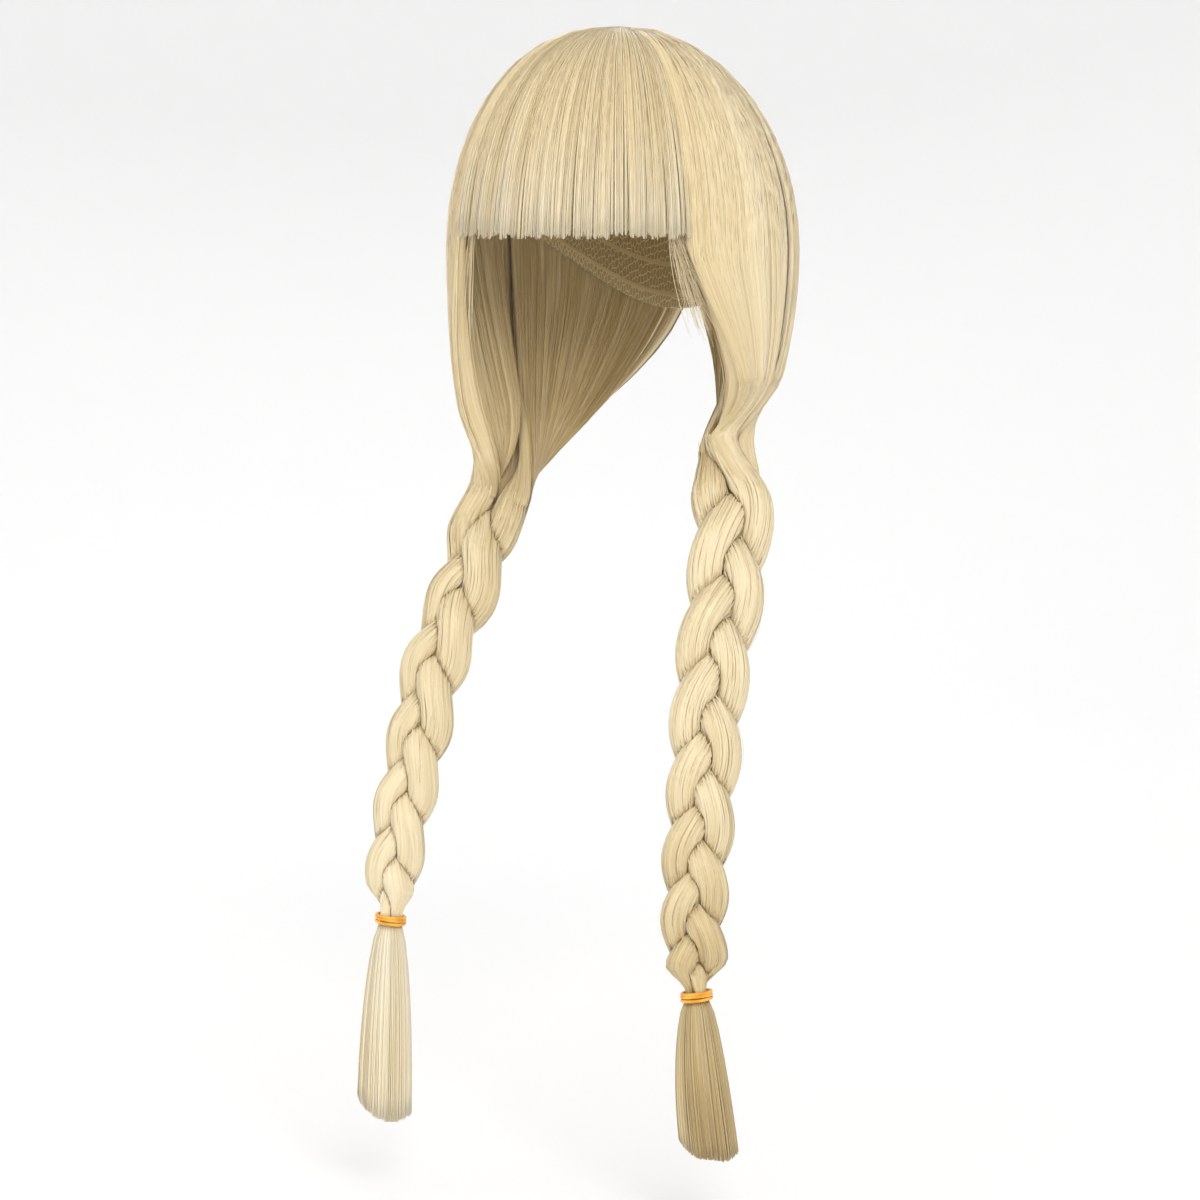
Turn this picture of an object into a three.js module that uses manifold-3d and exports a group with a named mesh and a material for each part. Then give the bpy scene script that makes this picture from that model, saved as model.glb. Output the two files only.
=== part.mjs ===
// Pigtail wig: a net cap that carries long straight hair, cut as a fringe over the brow and
// gathered at each side of the neck into a braid that an elastic band closes above a brush end.
// Millimetres. +Z is up, the face looks along -Y and +X is the wearer's left.
// The origin is the crown of the head, inside the cap.
import * as THREE from "three";
import { mergeVertices } from "three/addons/utils/BufferGeometryUtils.js";
import Module from "manifold-3d";

const wasm = await Module();
wasm.setup();

// Head that the cap fits
const headHalfWidth = 76;
const headFront = 88;
const headBack = 102;
const headHeight = 100; // from the crown down to the widest level

// Cap
const capWall = 1.5;
const capRimFront = 52; // each rim depth is measured down from the crown
const capRimEar = 97;
const capRimNape = 148;
const napeTuck = 16; // how far the cap's back leans in from the widest level to its rim

// Hair
const hairRise = 12; // over the crown
const hairHalfWidth = 98;
const hairFront = 97;
const hairBack = 124;
const hairHeight = 125; // from the hair's top down to its widest level
const frontFullness = 0.82; // under 1, the hair over the brow and temples swells higher up
const whorlRadius = 1.6;
const clearance = 0.4; // between pieces that lie side by side
const cutClearance = 0.32; // where one piece is cut to let another through
const sliver = 0.08; // detail under this size is left out after a cut
const capRoom = 8; // how far inside the cap such a cut reaches

// Fringe
const fringeHalfAngle = 46; // degrees each side of the nose
const fringeDrop = 104; // from the crown down to the cut ends
const fringeLocks = 11;
const fringeDepth = 0.72; // share of the room between the hair's outside and the cap
const fringeTipDepth = 0.5; // how thick its ends stay, as a share of its depth
const fringeSplit = 0.62; // share of its length where the locks part from each other
const fringeRaggedness = 1.2; // how far the cut ends stray up and down

// Gathering of the hair beside the neck
const gatherInside = 47;
const gatherFront = 70;
const gatherBack = 66;
const gatherAngle = 88; // degrees from the nose, where the hair runs together
const gatherShare = 0.85;
const gatherEase = 2.2;
const blendLength = 26; // how far up past the gathering a braid strand reaches into its section

// Braids
const strandSides = 8;
const strandStepsPerTurn = 15; // along one full turn of the weave
const strandGap = 2.6; // between strands where they press together
const strandReach = 0.49; // share of the braid's half width that a strand's middle swings
const strandHalfWidth = 0.56; // share of the braid's half width
const strandHalfDepth = 0.8; // share of the braid's half depth
const strandSwing = 0.3; // share of the braid's half depth
const rootLength = 34; // over which a braid grows to its full width and its weave begins
// How far in front each strand lies at the very top, as a share of its swing.
const rootHeights = { front: 1.4, back: -0.2, nape: -1.4 };
const neckRadius = 6; // of the braid inside its band
const neckTaper = 16; // length over which the braid narrows to its band
const neckLength = 3.1; // of the neck, above the band's middle

// Elastic bands
const bandCord = 1.7; // thickness of the elastic
const bandWraps = 3;
const bandGrip = 0.35; // clearance between the band and the hair
const bandSegments = 12;
const bandHeight = bandWraps * bandCord;

// Brush ends
const tailLocks = 5;
const tailCore = 0.62; // share of the brush's half width that its middle lock fills
const tailLockSteps = 3;
const tailLockSides = 6;
const tailFlare = 0.65; // under 1, the brush spreads soonest right below its band

// The two sides differ as hair that was braided by hand does. hand is 1 on the wearer's left.
// Each route runs from the gathering to the end of the brush, as [outward, forward, down].
// Phases are where each strand stands at the top of the braid, in degrees of its weave.
const sides = {
  left: {
    hand: 1,
    route: [
      [63.5, -1, 224],
      [74, 14, 250],
      [80.5, 40, 291],
      [82, 66, 340],
      [84.5, 85, 396],
      [84.5, 97, 460],
      [88, 102, 513],
      [92.5, 104, 560],
      [98.5, 106, 603],
    ],
    braidLength: 312,
    tailLength: 89,
    rootWidth: 0.74, // of the braid at its very top, as a share of its width
    topHalfWidth: 23,
    lowHalfWidth: 16.5,
    topHalfDepth: 15,
    lowHalfDepth: 11,
    topPitch: 164,
    lowPitch: 87,
    gatherReach: 80, // outside of the gathered hair, from the middle of the neck
    topFacing: 40, // degrees that the braid's face is turned outwards from the nose
    lowFacing: 12,
    phases: { front: 336, back: 96, nape: 216 },
    tailHalfWidth: 16.5,
    tailHalfDepth: 11,
    tailSlant: 4, // how much lower the cut is at the outer side
  },
  right: {
    hand: -1,
    route: [
      [67, 27, 254.5],
      [74, 45, 298],
      [84, 66, 341],
      [89, 81, 386],
      [96, 95, 446],
      [97.5, 100, 486],
      [98.5, 104, 540],
      [100, 105.5, 600],
    ],
    braidLength: 245.4,
    tailLength: 113,
    rootWidth: 0.85,
    topHalfWidth: 22,
    lowHalfWidth: 14.5,
    topHalfDepth: 14.5,
    lowHalfDepth: 10.5,
    topPitch: 135.5,
    lowPitch: 102,
    gatherReach: 87,
    topFacing: 20,
    lowFacing: -5,
    phases: { front: 19, back: 139, nape: 259 },
    tailHalfWidth: 16.5,
    tailHalfDepth: 11,
    tailSlant: -4,
  },
};

// The three sections of hair on each side. from and to are degrees from the nose, start and
// end run 0 at the whorl, 1 at the widest level and 2 at the gathering. outside and inside
// are shares of the hair's thickness, and edge is how thick the forward edge stays. sweep is
// how many degrees the forward edge draws back from the widest level to the gathering.
const sections = {
  front: {
    from: 46, to: 98, sweep: 26, start: 0, outside: 0, inside: 1, edge: 0.5, locks: 3, steps: 17,
  },
  back: {
    from: 98, to: 180, sweep: 0, start: 0, outside: 0, inside: 0.62, edge: 1, locks: 4, steps: 17,
  },
  nape: {
    from: 104, to: 178, sweep: 0, start: 0.72, outside: 0.66, inside: 1, edge: 0.8, locks: 2, steps: 11,
  },
};
const innerPoints = 5; // of a section's outline, on the side towards the head
const lockValley = 0.84; // how high the valley between two locks lies, as a share of the lift
const blendStart = 1.62; // where a section begins to draw in to its strand

const { clamp, lerp, smoothstep, degToRad, radToDeg } = THREE.MathUtils;

/** Moves every vertex of a geometry to where place(x, y, z) says. */
function reshape(geometry, place) {
  const spots = geometry.getAttribute("position");
  for (let i = 0; i < spots.count; i++) {
    spots.setXYZ(i, ...place(spots.getX(i), spots.getY(i), spots.getZ(i)));
  }
  return geometry;
}

/** A closed tube. place(turn, along, rim) gives a point, with turn 0 to 1 round the tube,
    along 0 to 1 down it, and rim 1 on its wall or 0 in the middle of an end. */
function tube(count, steps, place) {
  return reshape(new THREE.CylinderGeometry(1, 1, 1, count, steps), (x, y, z) => {
    const turn = (Math.atan2(x, z) / (2 * Math.PI) + 1) % 1;
    return place(turn, 0.5 - y, Math.round(Math.hypot(x, z))).toArray();
  });
}

/** The geometry with shared vertices merged, no empty faces, and its faces pointing out. */
function welded(geometry) {
  const bare = geometry.clone().deleteAttribute("normal").deleteAttribute("uv");
  const merged = mergeVertices(bare, 1e-4);
  const spots = merged.getAttribute("position");
  const given = merged.index.array;
  const corner = [new THREE.Vector3(), new THREE.Vector3(), new THREE.Vector3()];
  const index = [];
  let volume = 0;
  for (let i = 0; i < given.length; i += 3) {
    const face = [given[i], given[i + 1], given[i + 2]];
    if (new Set(face).size < 3) continue;
    index.push(...face);
    corner.forEach((point, k) => point.fromBufferAttribute(spots, face[k]));
    volume += corner[0].dot(corner[1].clone().cross(corner[2]));
  }
  if (volume < 0) index.reverse();
  return merged.setIndex(index);
}

function toManifold(geometry) {
  const closed = welded(geometry);
  return new wasm.Manifold(
    new wasm.Mesh({
      numProp: 3,
      vertProperties: new Float32Array(closed.getAttribute("position").array),
      triVerts: new Uint32Array(closed.index.array),
    }),
  );
}

function fromManifold(solid) {
  const { vertProperties, triVerts } = solid.simplify(sliver).getMesh();
  return new THREE.BufferGeometry()
    .setAttribute("position", new THREE.BufferAttribute(vertProperties, 3))
    .setIndex(new THREE.BufferAttribute(triVerts, 1));
}

/** All the geometries joined into one solid. */
function fused(geometries) {
  return geometries.map(toManifold).reduce((whole, lock) => whole.add(lock));
}

// The hair lies between two domes: its own outside, and the cap with a little clearance.
const outerForm = {
  halfWidth: hairHalfWidth,
  front: hairFront,
  back: hairBack,
  top: hairRise,
  height: hairHeight,
  gatherFront,
  gatherBack,
  ease: 2.1,
  fullness: frontFullness,
};
const capSkin = capWall + clearance;
const innerForm = {
  halfWidth: headHalfWidth + capSkin,
  front: headFront + capSkin,
  back: headBack + capSkin,
  top: capSkin,
  height: headHeight + capSkin,
  gatherSide: gatherInside,
  gatherFront: gatherInside,
  gatherBack: gatherInside,
  ease: 1.4,
  fullness: 1,
};

/** A point of a dome at an angle from the nose and a station from 0 at its top, over 1 at
    its widest level, to 2 at the gathering of a side, whose reach the outside takes. */
function onForm(form, angle, station, side) {
  const dome = Math.min(station, 1) * (Math.PI / 2);
  const forward = clamp(0.5 + 1.25 * Math.cos(degToRad(angle)), 0, 1);
  const swell = Math.sin(dome) ** lerp(1, form.fullness, forward);
  const below = Math.max(station - 1, 0);
  const gathered = gatherShare * below ** gatherEase;
  const turn = degToRad(lerp(angle, gatherAngle, gathered));
  const narrowed = below ** form.ease;
  const across = lerp(form.halfWidth, form.gatherSide ?? side.gatherReach, narrowed);
  const back = lerp(form.back, form.gatherBack, narrowed);
  const front = lerp(form.front, form.gatherFront, narrowed);
  const widest = form.top - form.height;
  return new THREE.Vector3(
    swell * across * Math.sin(turn),
    -swell * (Math.cos(turn) > 0 ? front : back) * Math.cos(turn),
    below > 0 ? lerp(widest, -side.gatherDown, below) : widest + form.height * Math.cos(dome),
  );
}

/** A point in the hair, at a share of its thickness from 0 outside to 1 against the cap. */
function inHair(angle, station, share, side) {
  const outer = onForm(outerForm, angle, station, side);
  return outer.lerp(onForm(innerForm, angle, station, side), share);
}

/** The angle in degrees that a length along the hair's edge takes up at a station. */
function edgeAngle(station, length) {
  const radius = hairHalfWidth * Math.sin((Math.min(station, 1) * Math.PI) / 2);
  return radToDeg(length / radius);
}

/** A side with its route as a smooth curve, in the frame of a left side. */
function withRoute(side) {
  const points = side.route.map(([out, forward, down]) => new THREE.Vector3(out, -forward, -down));
  const curve = new THREE.CatmullRomCurve3(points, false, "centripetal");
  return { ...side, curve, length: curve.getLength(), gatherDown: -points[0].z };
}

/** The place and axes of a side's route at a distance from the gathering: down along it,
    wide across the braid's face, and face out of it. Past its ends the route runs straight. */
function routeFrame(side, distance) {
  const held = clamp(distance, 0, side.length);
  const middle = side.curve.getPointAt(held / side.length);
  const down = side.curve.getTangentAt(held / side.length);
  middle.addScaledVector(down, distance - held);
  const share = smoothstep(distance, 0, side.braidLength);
  const facing = degToRad(lerp(side.topFacing, side.lowFacing, share));
  const level = new THREE.Vector3(Math.cos(facing), Math.sin(facing), 0);
  const face = down.clone().cross(level).normalize();
  const wide = face.clone().cross(down);
  return { middle, down, wide, face };
}

/** How far the weave has turned at a distance down the braid, in degrees. The pitch, which
    is one full turn, changes evenly from the top to the band. */
function weave(side, distance) {
  const grown = (side.lowPitch - side.topPitch) / side.braidLength;
  const held = Math.max(distance, 0);
  return (360 / grown) * Math.log(1 + (grown * held) / side.topPitch);
}

/** The distance down the braid at which the weave has turned by so many degrees. */
function unweave(side, turned) {
  const grown = (side.lowPitch - side.topPitch) / side.braidLength;
  return (side.topPitch / grown) * Math.expm1((turned * grown) / 360);
}

/** The half width and half depth of a braid at a distance down it. */
function braidSize(side, distance) {
  const share = clamp(distance / side.braidLength, 0, 1);
  const closed = side.braidLength - neckLength;
  const closing = 1 - smoothstep(distance, closed - neckTaper, closed);
  const root = lerp(side.rootWidth, 1, smoothstep(distance, 0, rootLength));
  const width = root * lerp(side.topHalfWidth, side.lowHalfWidth, share);
  const depth = root * lerp(side.topHalfDepth, side.lowHalfDepth, share);
  return [lerp(neckRadius, width, closing), lerp(neckRadius, depth, closing)];
}

/** The middle of a strand in the braid's own cross-section. */
function strandMiddle(side, name, distance) {
  const [halfWidth, halfDepth] = braidSize(side, distance);
  const turn = degToRad(side.phases[name] + weave(side, distance));
  const woven = smoothstep(distance, 0, rootLength);
  return [
    strandReach * halfWidth * Math.sin(turn),
    strandSwing * halfDepth * lerp(rootHeights[name], Math.sin(2 * turn), woven),
  ];
}

/** A point of a strand's outline. The three strands press flat against each other where
    they meet, so each outline stops at the lines half way to the other two. */
function onStrand(side, name, distance, angle, rim, grow) {
  const [halfWidth, halfDepth] = braidSize(side, distance);
  const wide = strandHalfWidth * halfWidth;
  const deep = strandHalfDepth * halfDepth;
  const [x, y] = strandMiddle(side, name, distance);
  let reach = 1;
  for (const other of Object.keys(side.phases)) {
    if (other === name) continue;
    const [otherX, otherY] = strandMiddle(side, other, distance);
    const away = new THREE.Vector2((otherX - x) / wide, (otherY - y) / deep);
    const apart = away.length();
    const towards = (Math.cos(angle) * away.x + Math.sin(angle) * away.y) / apart;
    const room = apart / 2 - strandGap / 2 / deep;
    if (towards > 0) reach = Math.min(reach, room / towards);
  }
  const { middle, wide: wideAxis, face } = routeFrame(side, distance);
  return middle
    .addScaledVector(wideAxis, x + rim * (wide * reach + grow) * Math.cos(angle))
    .addScaledVector(face, y + rim * (deep * reach + grow) * Math.sin(angle));
}

/** The outline of a section of hair: locks with valleys between them on the outside, and a
    few points on the inside. across runs -1 to 1, lift is 1 outside and -1 inside. */
function lockOutline(locks) {
  const points = [];
  for (let i = 0; i <= 2 * locks; i++) {
    points.push({ across: -1 + i / locks, lift: i % 2 ? 1 : lockValley });
  }
  for (let i = 0; i < innerPoints; i++) {
    const across = 1 - (2 * i) / (innerPoints - 1);
    points.push({ across, lift: Math.abs(across) === 1 ? -lockValley : -1 });
  }
  return points;
}

/** One section of hair, from the whorl down to where its braid strand begins. */
function hairSection(side, name, grow = 0) {
  const part = sections[name];
  const outline = lockOutline(part.locks);
  const place = (turn, along, rim) => {
    const { across, lift } = outline[Math.round(turn * outline.length) % outline.length];
    const station = lerp(Math.max(part.start, whorlRadius / hairHalfWidth), 2, along);
    const from = part.from + part.sweep * Math.max(station - 1, 0);
    const middleAngle = (from + part.to) / 2;
    const halfAngle = (part.to - from) / 2 + edgeAngle(station, grow - clearance / 2);
    const angle = middleAngle + rim * across * halfAngle;
    const thinning = lerp(part.edge, 1, (1 + rim * across) / 2);
    const halfShare = ((part.inside - part.outside) / 2) * thinning;
    const room = hairHalfWidth - headHalfWidth;
    const share = part.outside + halfShare - rim * lift * (halfShare + grow / room);
    const loose = inHair(angle, station, share, side);
    if (station <= blendStart) return loose;
    const distance = -lerp(blendLength, clearance / 2 - grow, (station - blendStart) / (2 - blendStart));
    const towards = Math.atan2(lift, across);
    const bound = onStrand(side, name, distance, towards, rim, grow);
    return loose.lerp(bound, smoothstep(station, blendStart, 2));
  };
  return tube(outline.length, part.steps, place);
}

/** The three pieces that shape(side, name, grow) makes, each cut clear of those over it and
    of anything else that is given. */
function cutApart(side, shape, others = []) {
  const cut = {};
  for (const name of ["front", "back", "nape"]) {
    const whole = toManifold(shape(side, name));
    cut[name] = fromManifold(others.reduce((solid, other) => solid.subtract(other), whole));
    others.push(toManifold(shape(side, name, cutClearance)).add(whole));
  }
  return cut;
}

/** One of the three strands of a braid, from the gathering to the band. */
function braidStrand(side, name, grow = 0) {
  const start = weave(side, clearance / 2);
  const end = weave(side, side.braidLength - clearance / 2);
  const steps = Math.round(((end - start) / 360) * strandStepsPerTurn);
  return tube(strandSides, steps, (turn, along, rim) => {
    const distance = unweave(side, lerp(start, end, along));
    return onStrand(side, name, distance, 2 * Math.PI * turn, rim, grow);
  });
}

/** The elastic band: a few wraps of round elastic, side by side round the braid's neck. */
function elasticBand(side, grow = 0) {
  const strandOut = Math.max(strandReach + strandHalfWidth, strandSwing + strandHalfDepth);
  const hold = neckRadius * strandOut + bandGrip;
  const inside = hold / Math.cos(Math.PI / bandSegments) - grow;
  const profile = [new THREE.Vector2(inside, -bandHeight / 2 - grow)];
  for (let wrap = 0; wrap < bandWraps; wrap++) {
    const level = -bandHeight / 2 + (wrap + 0.5) * bandCord;
    for (const lean of [-55, 0, 55]) {
      const bulge = bandCord / 2;
      const out = inside + 2 * grow + bulge + bulge * Math.cos(degToRad(lean));
      profile.push(new THREE.Vector2(out, level + bulge * Math.sin(degToRad(lean))));
    }
  }
  profile.push(new THREE.Vector2(inside, bandHeight / 2 + grow), profile[0].clone());
  const ring = new THREE.LatheGeometry(profile, bandSegments);
  const { middle, down, wide, face } = routeFrame(side, side.braidLength);
  const axes = new THREE.Matrix4().makeBasis(wide, down.clone().negate(), face.clone().negate());
  return ring.applyMatrix4(axes.setPosition(middle));
}

/** The brush end below the band: a middle lock with a ring of locks fused round it. */
function brushEnd(side) {
  const top = side.braidLength + clearance / 2;
  const hold = neckRadius * 0.94;
  const lock = (bearing, spreadTop, spreadLow, thickTop, thickLow, length) =>
    tube(tailLockSides, tailLockSteps, (turn, along, rim) => {
      const flare = Math.sin((along ** tailFlare * Math.PI) / 2);
      const { middle, wide, face } = routeFrame(side, top + along * length);
      const out = [
        lerp(spreadTop, spreadLow * side.tailHalfWidth, flare),
        lerp(spreadTop, spreadLow * side.tailHalfDepth, flare),
      ];
      const thick = [
        lerp(thickTop, thickLow * side.tailHalfWidth, flare),
        lerp(thickTop, thickLow * side.tailHalfDepth, flare),
      ];
      const angle = 2 * Math.PI * turn;
      return middle
        .addScaledVector(wide, out[0] * Math.cos(bearing) + rim * thick[0] * Math.cos(angle))
        .addScaledVector(face, out[1] * Math.sin(bearing) + rim * thick[1] * Math.sin(angle));
    });
  const locks = [lock(0, 0, 0, hold * 0.9, tailCore, side.tailLength)];
  for (let i = 0; i < tailLocks; i++) {
    const bearing = (2 * Math.PI * (i + 0.5)) / tailLocks;
    const slant = (side.tailSlant / 2) * Math.cos(bearing);
    const uneven = i % 2 ? 1.5 : 0;
    locks.push(lock(bearing, hold * 0.55, 0.64, hold * 0.45, 0.36, side.tailLength + slant - uneven));
  }
  return fromManifold(fused(locks));
}

/** The fringe: one sheet of locks from the whorl, that parts into single locks above the brow. */
function fringe() {
  const lowest = (hairRise + fringeDrop) / hairHeight;
  const endStation = Math.acos(1 - lowest) / (Math.PI / 2);
  const split = endStation * fringeSplit;
  const step = (2 * fringeHalfAngle) / fringeLocks;
  const ungathered = { gatherReach: hairHalfWidth, gatherDown: hairHeight };
  const inFringe = (angle, station, lift) => {
    const halfShare = (fringeDepth / 2) * lerp(1, fringeTipDepth, (station / endStation) ** 2);
    return inHair(angle, station, halfShare * (1 - lift), ungathered);
  };
  const sheetOutline = lockOutline(fringeLocks);
  const sheet = tube(sheetOutline.length, 6, (turn, along, rim) => {
    const { across, lift } = sheetOutline[Math.round(turn * sheetOutline.length) % sheetOutline.length];
    const station = lerp(whorlRadius / hairHalfWidth, split, along);
    const half = fringeHalfAngle - edgeAngle(station, clearance / 2);
    return inFringe(rim * across * half, station, rim * lift);
  });
  const locks = [sheet];
  for (let i = 0; i < fringeLocks; i++) {
    const centre = -fringeHalfAngle + (i + 0.5) * step;
    const ragged = (fringeRaggedness * (((i * 5) % 4) - 1.5)) / 1.5 / hairHeight;
    locks.push(
      tube(6, 3, (turn, along, rim) => {
        const angle = 2 * Math.PI * turn;
        const station = lerp(split * 0.97, endStation + ragged, along);
        const half = (step / 2) * lerp(0.96, 0.78, along);
        const across = rim * clamp(2 * Math.sin(angle), -1, 1);
        const lift = 0.94 * rim * clamp(1.25 * Math.cos(angle), -1, 1);
        return inFringe(centre + across * half, station, lift);
      }),
    );
  }
  return fromManifold(fused(locks));
}

/** The cap: a thin dome with its rim high over the brow, low at the ears and lowest behind.
    inside and outside are the offsets of its two faces from the head. */
function netCap(inside = 0, outside = capWall) {
  const rings = 6;
  const segments = 20;
  const profile = [];
  for (let i = 0; i <= rings; i++) profile.push(new THREE.Vector2(i / rings, 1));
  for (let i = rings; i >= 0; i--) profile.push(new THREE.Vector2(i / rings, 0));
  const rimDepth = (turn) => {
    const forward = Math.cos(turn);
    const low = forward > 0 ? capRimFront : capRimNape;
    return lerp(capRimEar, low, forward ** 2) + 4 * (outside - capWall);
  };
  return reshape(new THREE.LatheGeometry(profile, segments), (x, y, z) => {
    const turn = Math.atan2(x, z);
    const wall = y > 0.5 ? outside : inside;
    const down = rimDepth(turn) * (1 - Math.cos((Math.hypot(x, z) * Math.PI) / 2));
    const dome = Math.min(down / headHeight, 1);
    const lean = napeTuck * Math.max(down - headHeight, 0) / (capRimNape - headHeight);
    const swell = Math.sqrt(1 - (1 - dome) ** 2);
    const length = Math.cos(turn) > 0 ? headFront : headBack - lean;
    const level = (headHeight + wall) * (1 - Math.min(down / headHeight, 1));
    return [
      swell * (headHalfWidth + wall) * Math.sin(turn),
      -swell * (length + wall) * Math.cos(turn),
      down < headHeight ? level - headHeight : -down,
    ];
  });
}

const hair = new THREE.MeshStandardMaterial({ color: "#ecd9a0", roughness: 0.42, metalness: 0 });
const net = new THREE.MeshStandardMaterial({ color: "#d9c08a", roughness: 0.8, metalness: 0 });
const elastic = new THREE.MeshStandardMaterial({ color: "#f0a325", roughness: 0.45, metalness: 0 });

const wig = new THREE.Group();

/** Adds a named piece, mirrored across the nose for a right side. */
function addPiece(name, geometry, material, hand = 1) {
  const piece = new THREE.Mesh(welded(geometry), material);
  piece.name = name;
  piece.scale.x = hand;
  wig.add(piece);
}

addPiece("net_cap", netCap(), net);
addPiece("fringe", fringe(), hair);
for (const [label, given] of Object.entries(sides)) {
  const side = withRoute(given);
  const loose = cutApart(side, hairSection, [toManifold(netCap(-capRoom, capWall + cutClearance))]);
  const woven = cutApart(side, braidStrand, [toManifold(elasticBand(side, cutClearance))]);
  for (const name of Object.keys(sections)) {
    addPiece(`hair_${label}_${name}`, loose[name], hair, side.hand);
    addPiece(`strand_${label}_${name}`, woven[name], hair, side.hand);
  }
  addPiece(`elastic_band_${label}`, elasticBand(side), elastic, side.hand);
  addPiece(`brush_end_${label}`, brushEnd(side), hair, side.hand);
}

export default wig;
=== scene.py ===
"""The looks of a pale blonde wig with a straight fringe and two long braids.

Every length here is in millimetres, and becomes metres when a mesh is made. The
wearer faces -Y, +Z is up, the origin is the top of the head, and the wearer's left
is +X. The right side is worked out as a left side and then mirrored across the nose.
"""

import logging
import math
from dataclasses import dataclass, field
from enum import Enum
from typing import Callable

import bmesh
import bpy
import numpy as np
from mathutils import Matrix, Vector

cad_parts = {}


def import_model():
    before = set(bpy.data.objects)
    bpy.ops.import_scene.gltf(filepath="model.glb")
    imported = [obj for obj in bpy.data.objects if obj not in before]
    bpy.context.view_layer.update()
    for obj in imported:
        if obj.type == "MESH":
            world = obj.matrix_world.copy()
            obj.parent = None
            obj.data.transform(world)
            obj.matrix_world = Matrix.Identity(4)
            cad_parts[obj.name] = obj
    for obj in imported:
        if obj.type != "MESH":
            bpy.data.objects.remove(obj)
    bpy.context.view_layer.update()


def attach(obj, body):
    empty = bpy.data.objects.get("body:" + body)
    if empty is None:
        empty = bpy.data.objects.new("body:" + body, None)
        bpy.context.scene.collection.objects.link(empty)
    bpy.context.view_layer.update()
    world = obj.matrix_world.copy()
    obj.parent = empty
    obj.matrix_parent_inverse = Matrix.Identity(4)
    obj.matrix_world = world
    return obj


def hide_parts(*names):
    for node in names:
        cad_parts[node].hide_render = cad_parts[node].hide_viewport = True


Array = np.ndarray

MM = 0.001
FULL_TURN = 2 * math.pi
TONE = "tone"  # the attribute that holds how light each point is
FIBRE_UV = "fibre"  # the UV map, in metres across and along each strand

log = logging.getLogger("wig")


def lerp(low: Array | float, high: Array | float, share: Array | float) -> Array | float:
    """A value part way from low to high, for numbers or arrays."""
    return low + (high - low) * share


def smooth_share(value: Array, low: float, high: float) -> Array:
    """How far value has gone from low to high, eased at both ends."""
    share = np.clip((value - low) / (high - low), 0, 1)
    return share * share * (3 - 2 * share)


def unit(vectors: Array) -> Array:
    """The same directions with a length of one."""
    return vectors / np.maximum(np.linalg.norm(vectors, axis=-1, keepdims=True), 1e-9)


def spread_evenly(rng: np.random.Generator, count: int) -> Array:
    """Seeded values from 0 to 1 that cover the range evenly.

    Args:
        rng: Where they come from.
        count: How many.

    Returns:
        One value from each of count equal steps, in mixed order.
    """
    values = (np.arange(count) + rng.random(count)) / count
    rng.shuffle(values)
    return values


@dataclass(frozen=True)
class Ripple:
    """A smooth seeded waviness over two running values.

    Attributes:
        waves: One row a wave: pitch along the first value, pitch along the second,
            phase and size.
    """

    waves: Array

    @classmethod
    def seeded(cls, rng: np.random.Generator, count: int, first: float, second: float) -> "Ripple":
        """A ripple of seeded waves.

        Args:
            rng: Where their pitches, phases and sizes come from.
            count: How many waves.
            first: The finest pitch along the first value.
            second: The finest pitch along the second value.

        Returns:
            The ripple.
        """
        waves = rng.uniform(-1, 1, (count, 4)) * (first, second, 1, 0)
        waves[:, 3] = rng.uniform(0.5, 1, count) / math.sqrt(count)
        return cls(waves)

    def at(self, one: Array, two: Array) -> Array:
        """The height of the ripple.

        Args:
            one: The first running value.
            two: The second.

        Returns:
            Heights, mostly between -1 and 1.
        """
        return sum(
            size * np.sin(FULL_TURN * (one * first + two * second + phase))
            for first, second, phase, size in self.waves
        )


# The forms that the hair follows


@dataclass(frozen=True)
class Dome:
    """A dome over the head that narrows below its widest level to a side's gathering."""

    half_width: float
    front: float
    back: float
    top: float
    height: float
    gather_front: float
    gather_back: float
    ease: float
    fullness: float
    gather_side: float = 0.0

    def point(self, angle: Array, station: Array, reach: float, drop: float) -> Array:
        """Points of the dome on the left side.

        Args:
            angle: Degrees from the nose.
            station: 0 at the top, 1 at the widest level, 2 at the gathering.
            reach: How far out the gathering lies, where the dome has no size of its own.
            drop: How far down the gathering lies.

        Returns:
            One point for each angle and station.
        """
        dome = np.minimum(station, 1) * (math.pi / 2)
        forward = np.clip(0.5 + 1.25 * np.cos(np.radians(angle)), 0, 1)
        swell = np.maximum(np.sin(dome), 0) ** lerp(1, self.fullness, forward)
        below = np.maximum(station - 1, 0)
        gathered = GATHER_SHARE * below**GATHER_EASE
        turn = np.radians(lerp(angle, GATHER_ANGLE, gathered))
        narrowed = below**self.ease
        across = lerp(self.half_width, self.gather_side or reach, narrowed)
        back = lerp(self.back, self.gather_back, narrowed)
        front = lerp(self.front, self.gather_front, narrowed)
        widest = self.top - self.height
        depth = np.where(np.cos(turn) > 0, front, back)
        level = np.where(below > 0, lerp(widest, -drop, below), widest + self.height * np.cos(dome))
        flat = np.stack([swell * across * np.sin(turn), -swell * depth * np.cos(turn)], -1)
        return np.concatenate([flat, level[..., None]], -1)


GATHER_ANGLE = 88  # degrees from the nose, where the hair of a side runs together
GATHER_SHARE = 0.85  # how far the hair turns towards that angle
GATHER_EASE = 2.2
HAIR_HALF_WIDTH = 98
HAIR_RISE = 12  # over the top of the head
HAIR_HEIGHT = 125  # from the hair's top down to its widest level
WHORL_RADIUS = 1.6
WHORL_START = -0.0074  # along, for strands that close the whorl over the core's small hole
HEAD_HALF_WIDTH = 76
HEAD_FRONT = 88
HEAD_BACK = 102
HEAD_HEIGHT = 100
CAP_SKIN = 1.9  # the cap's wall and the clearance over it
GATHER_INSIDE = 47  # from the middle of the neck to the inside of the gathered hair

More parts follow.
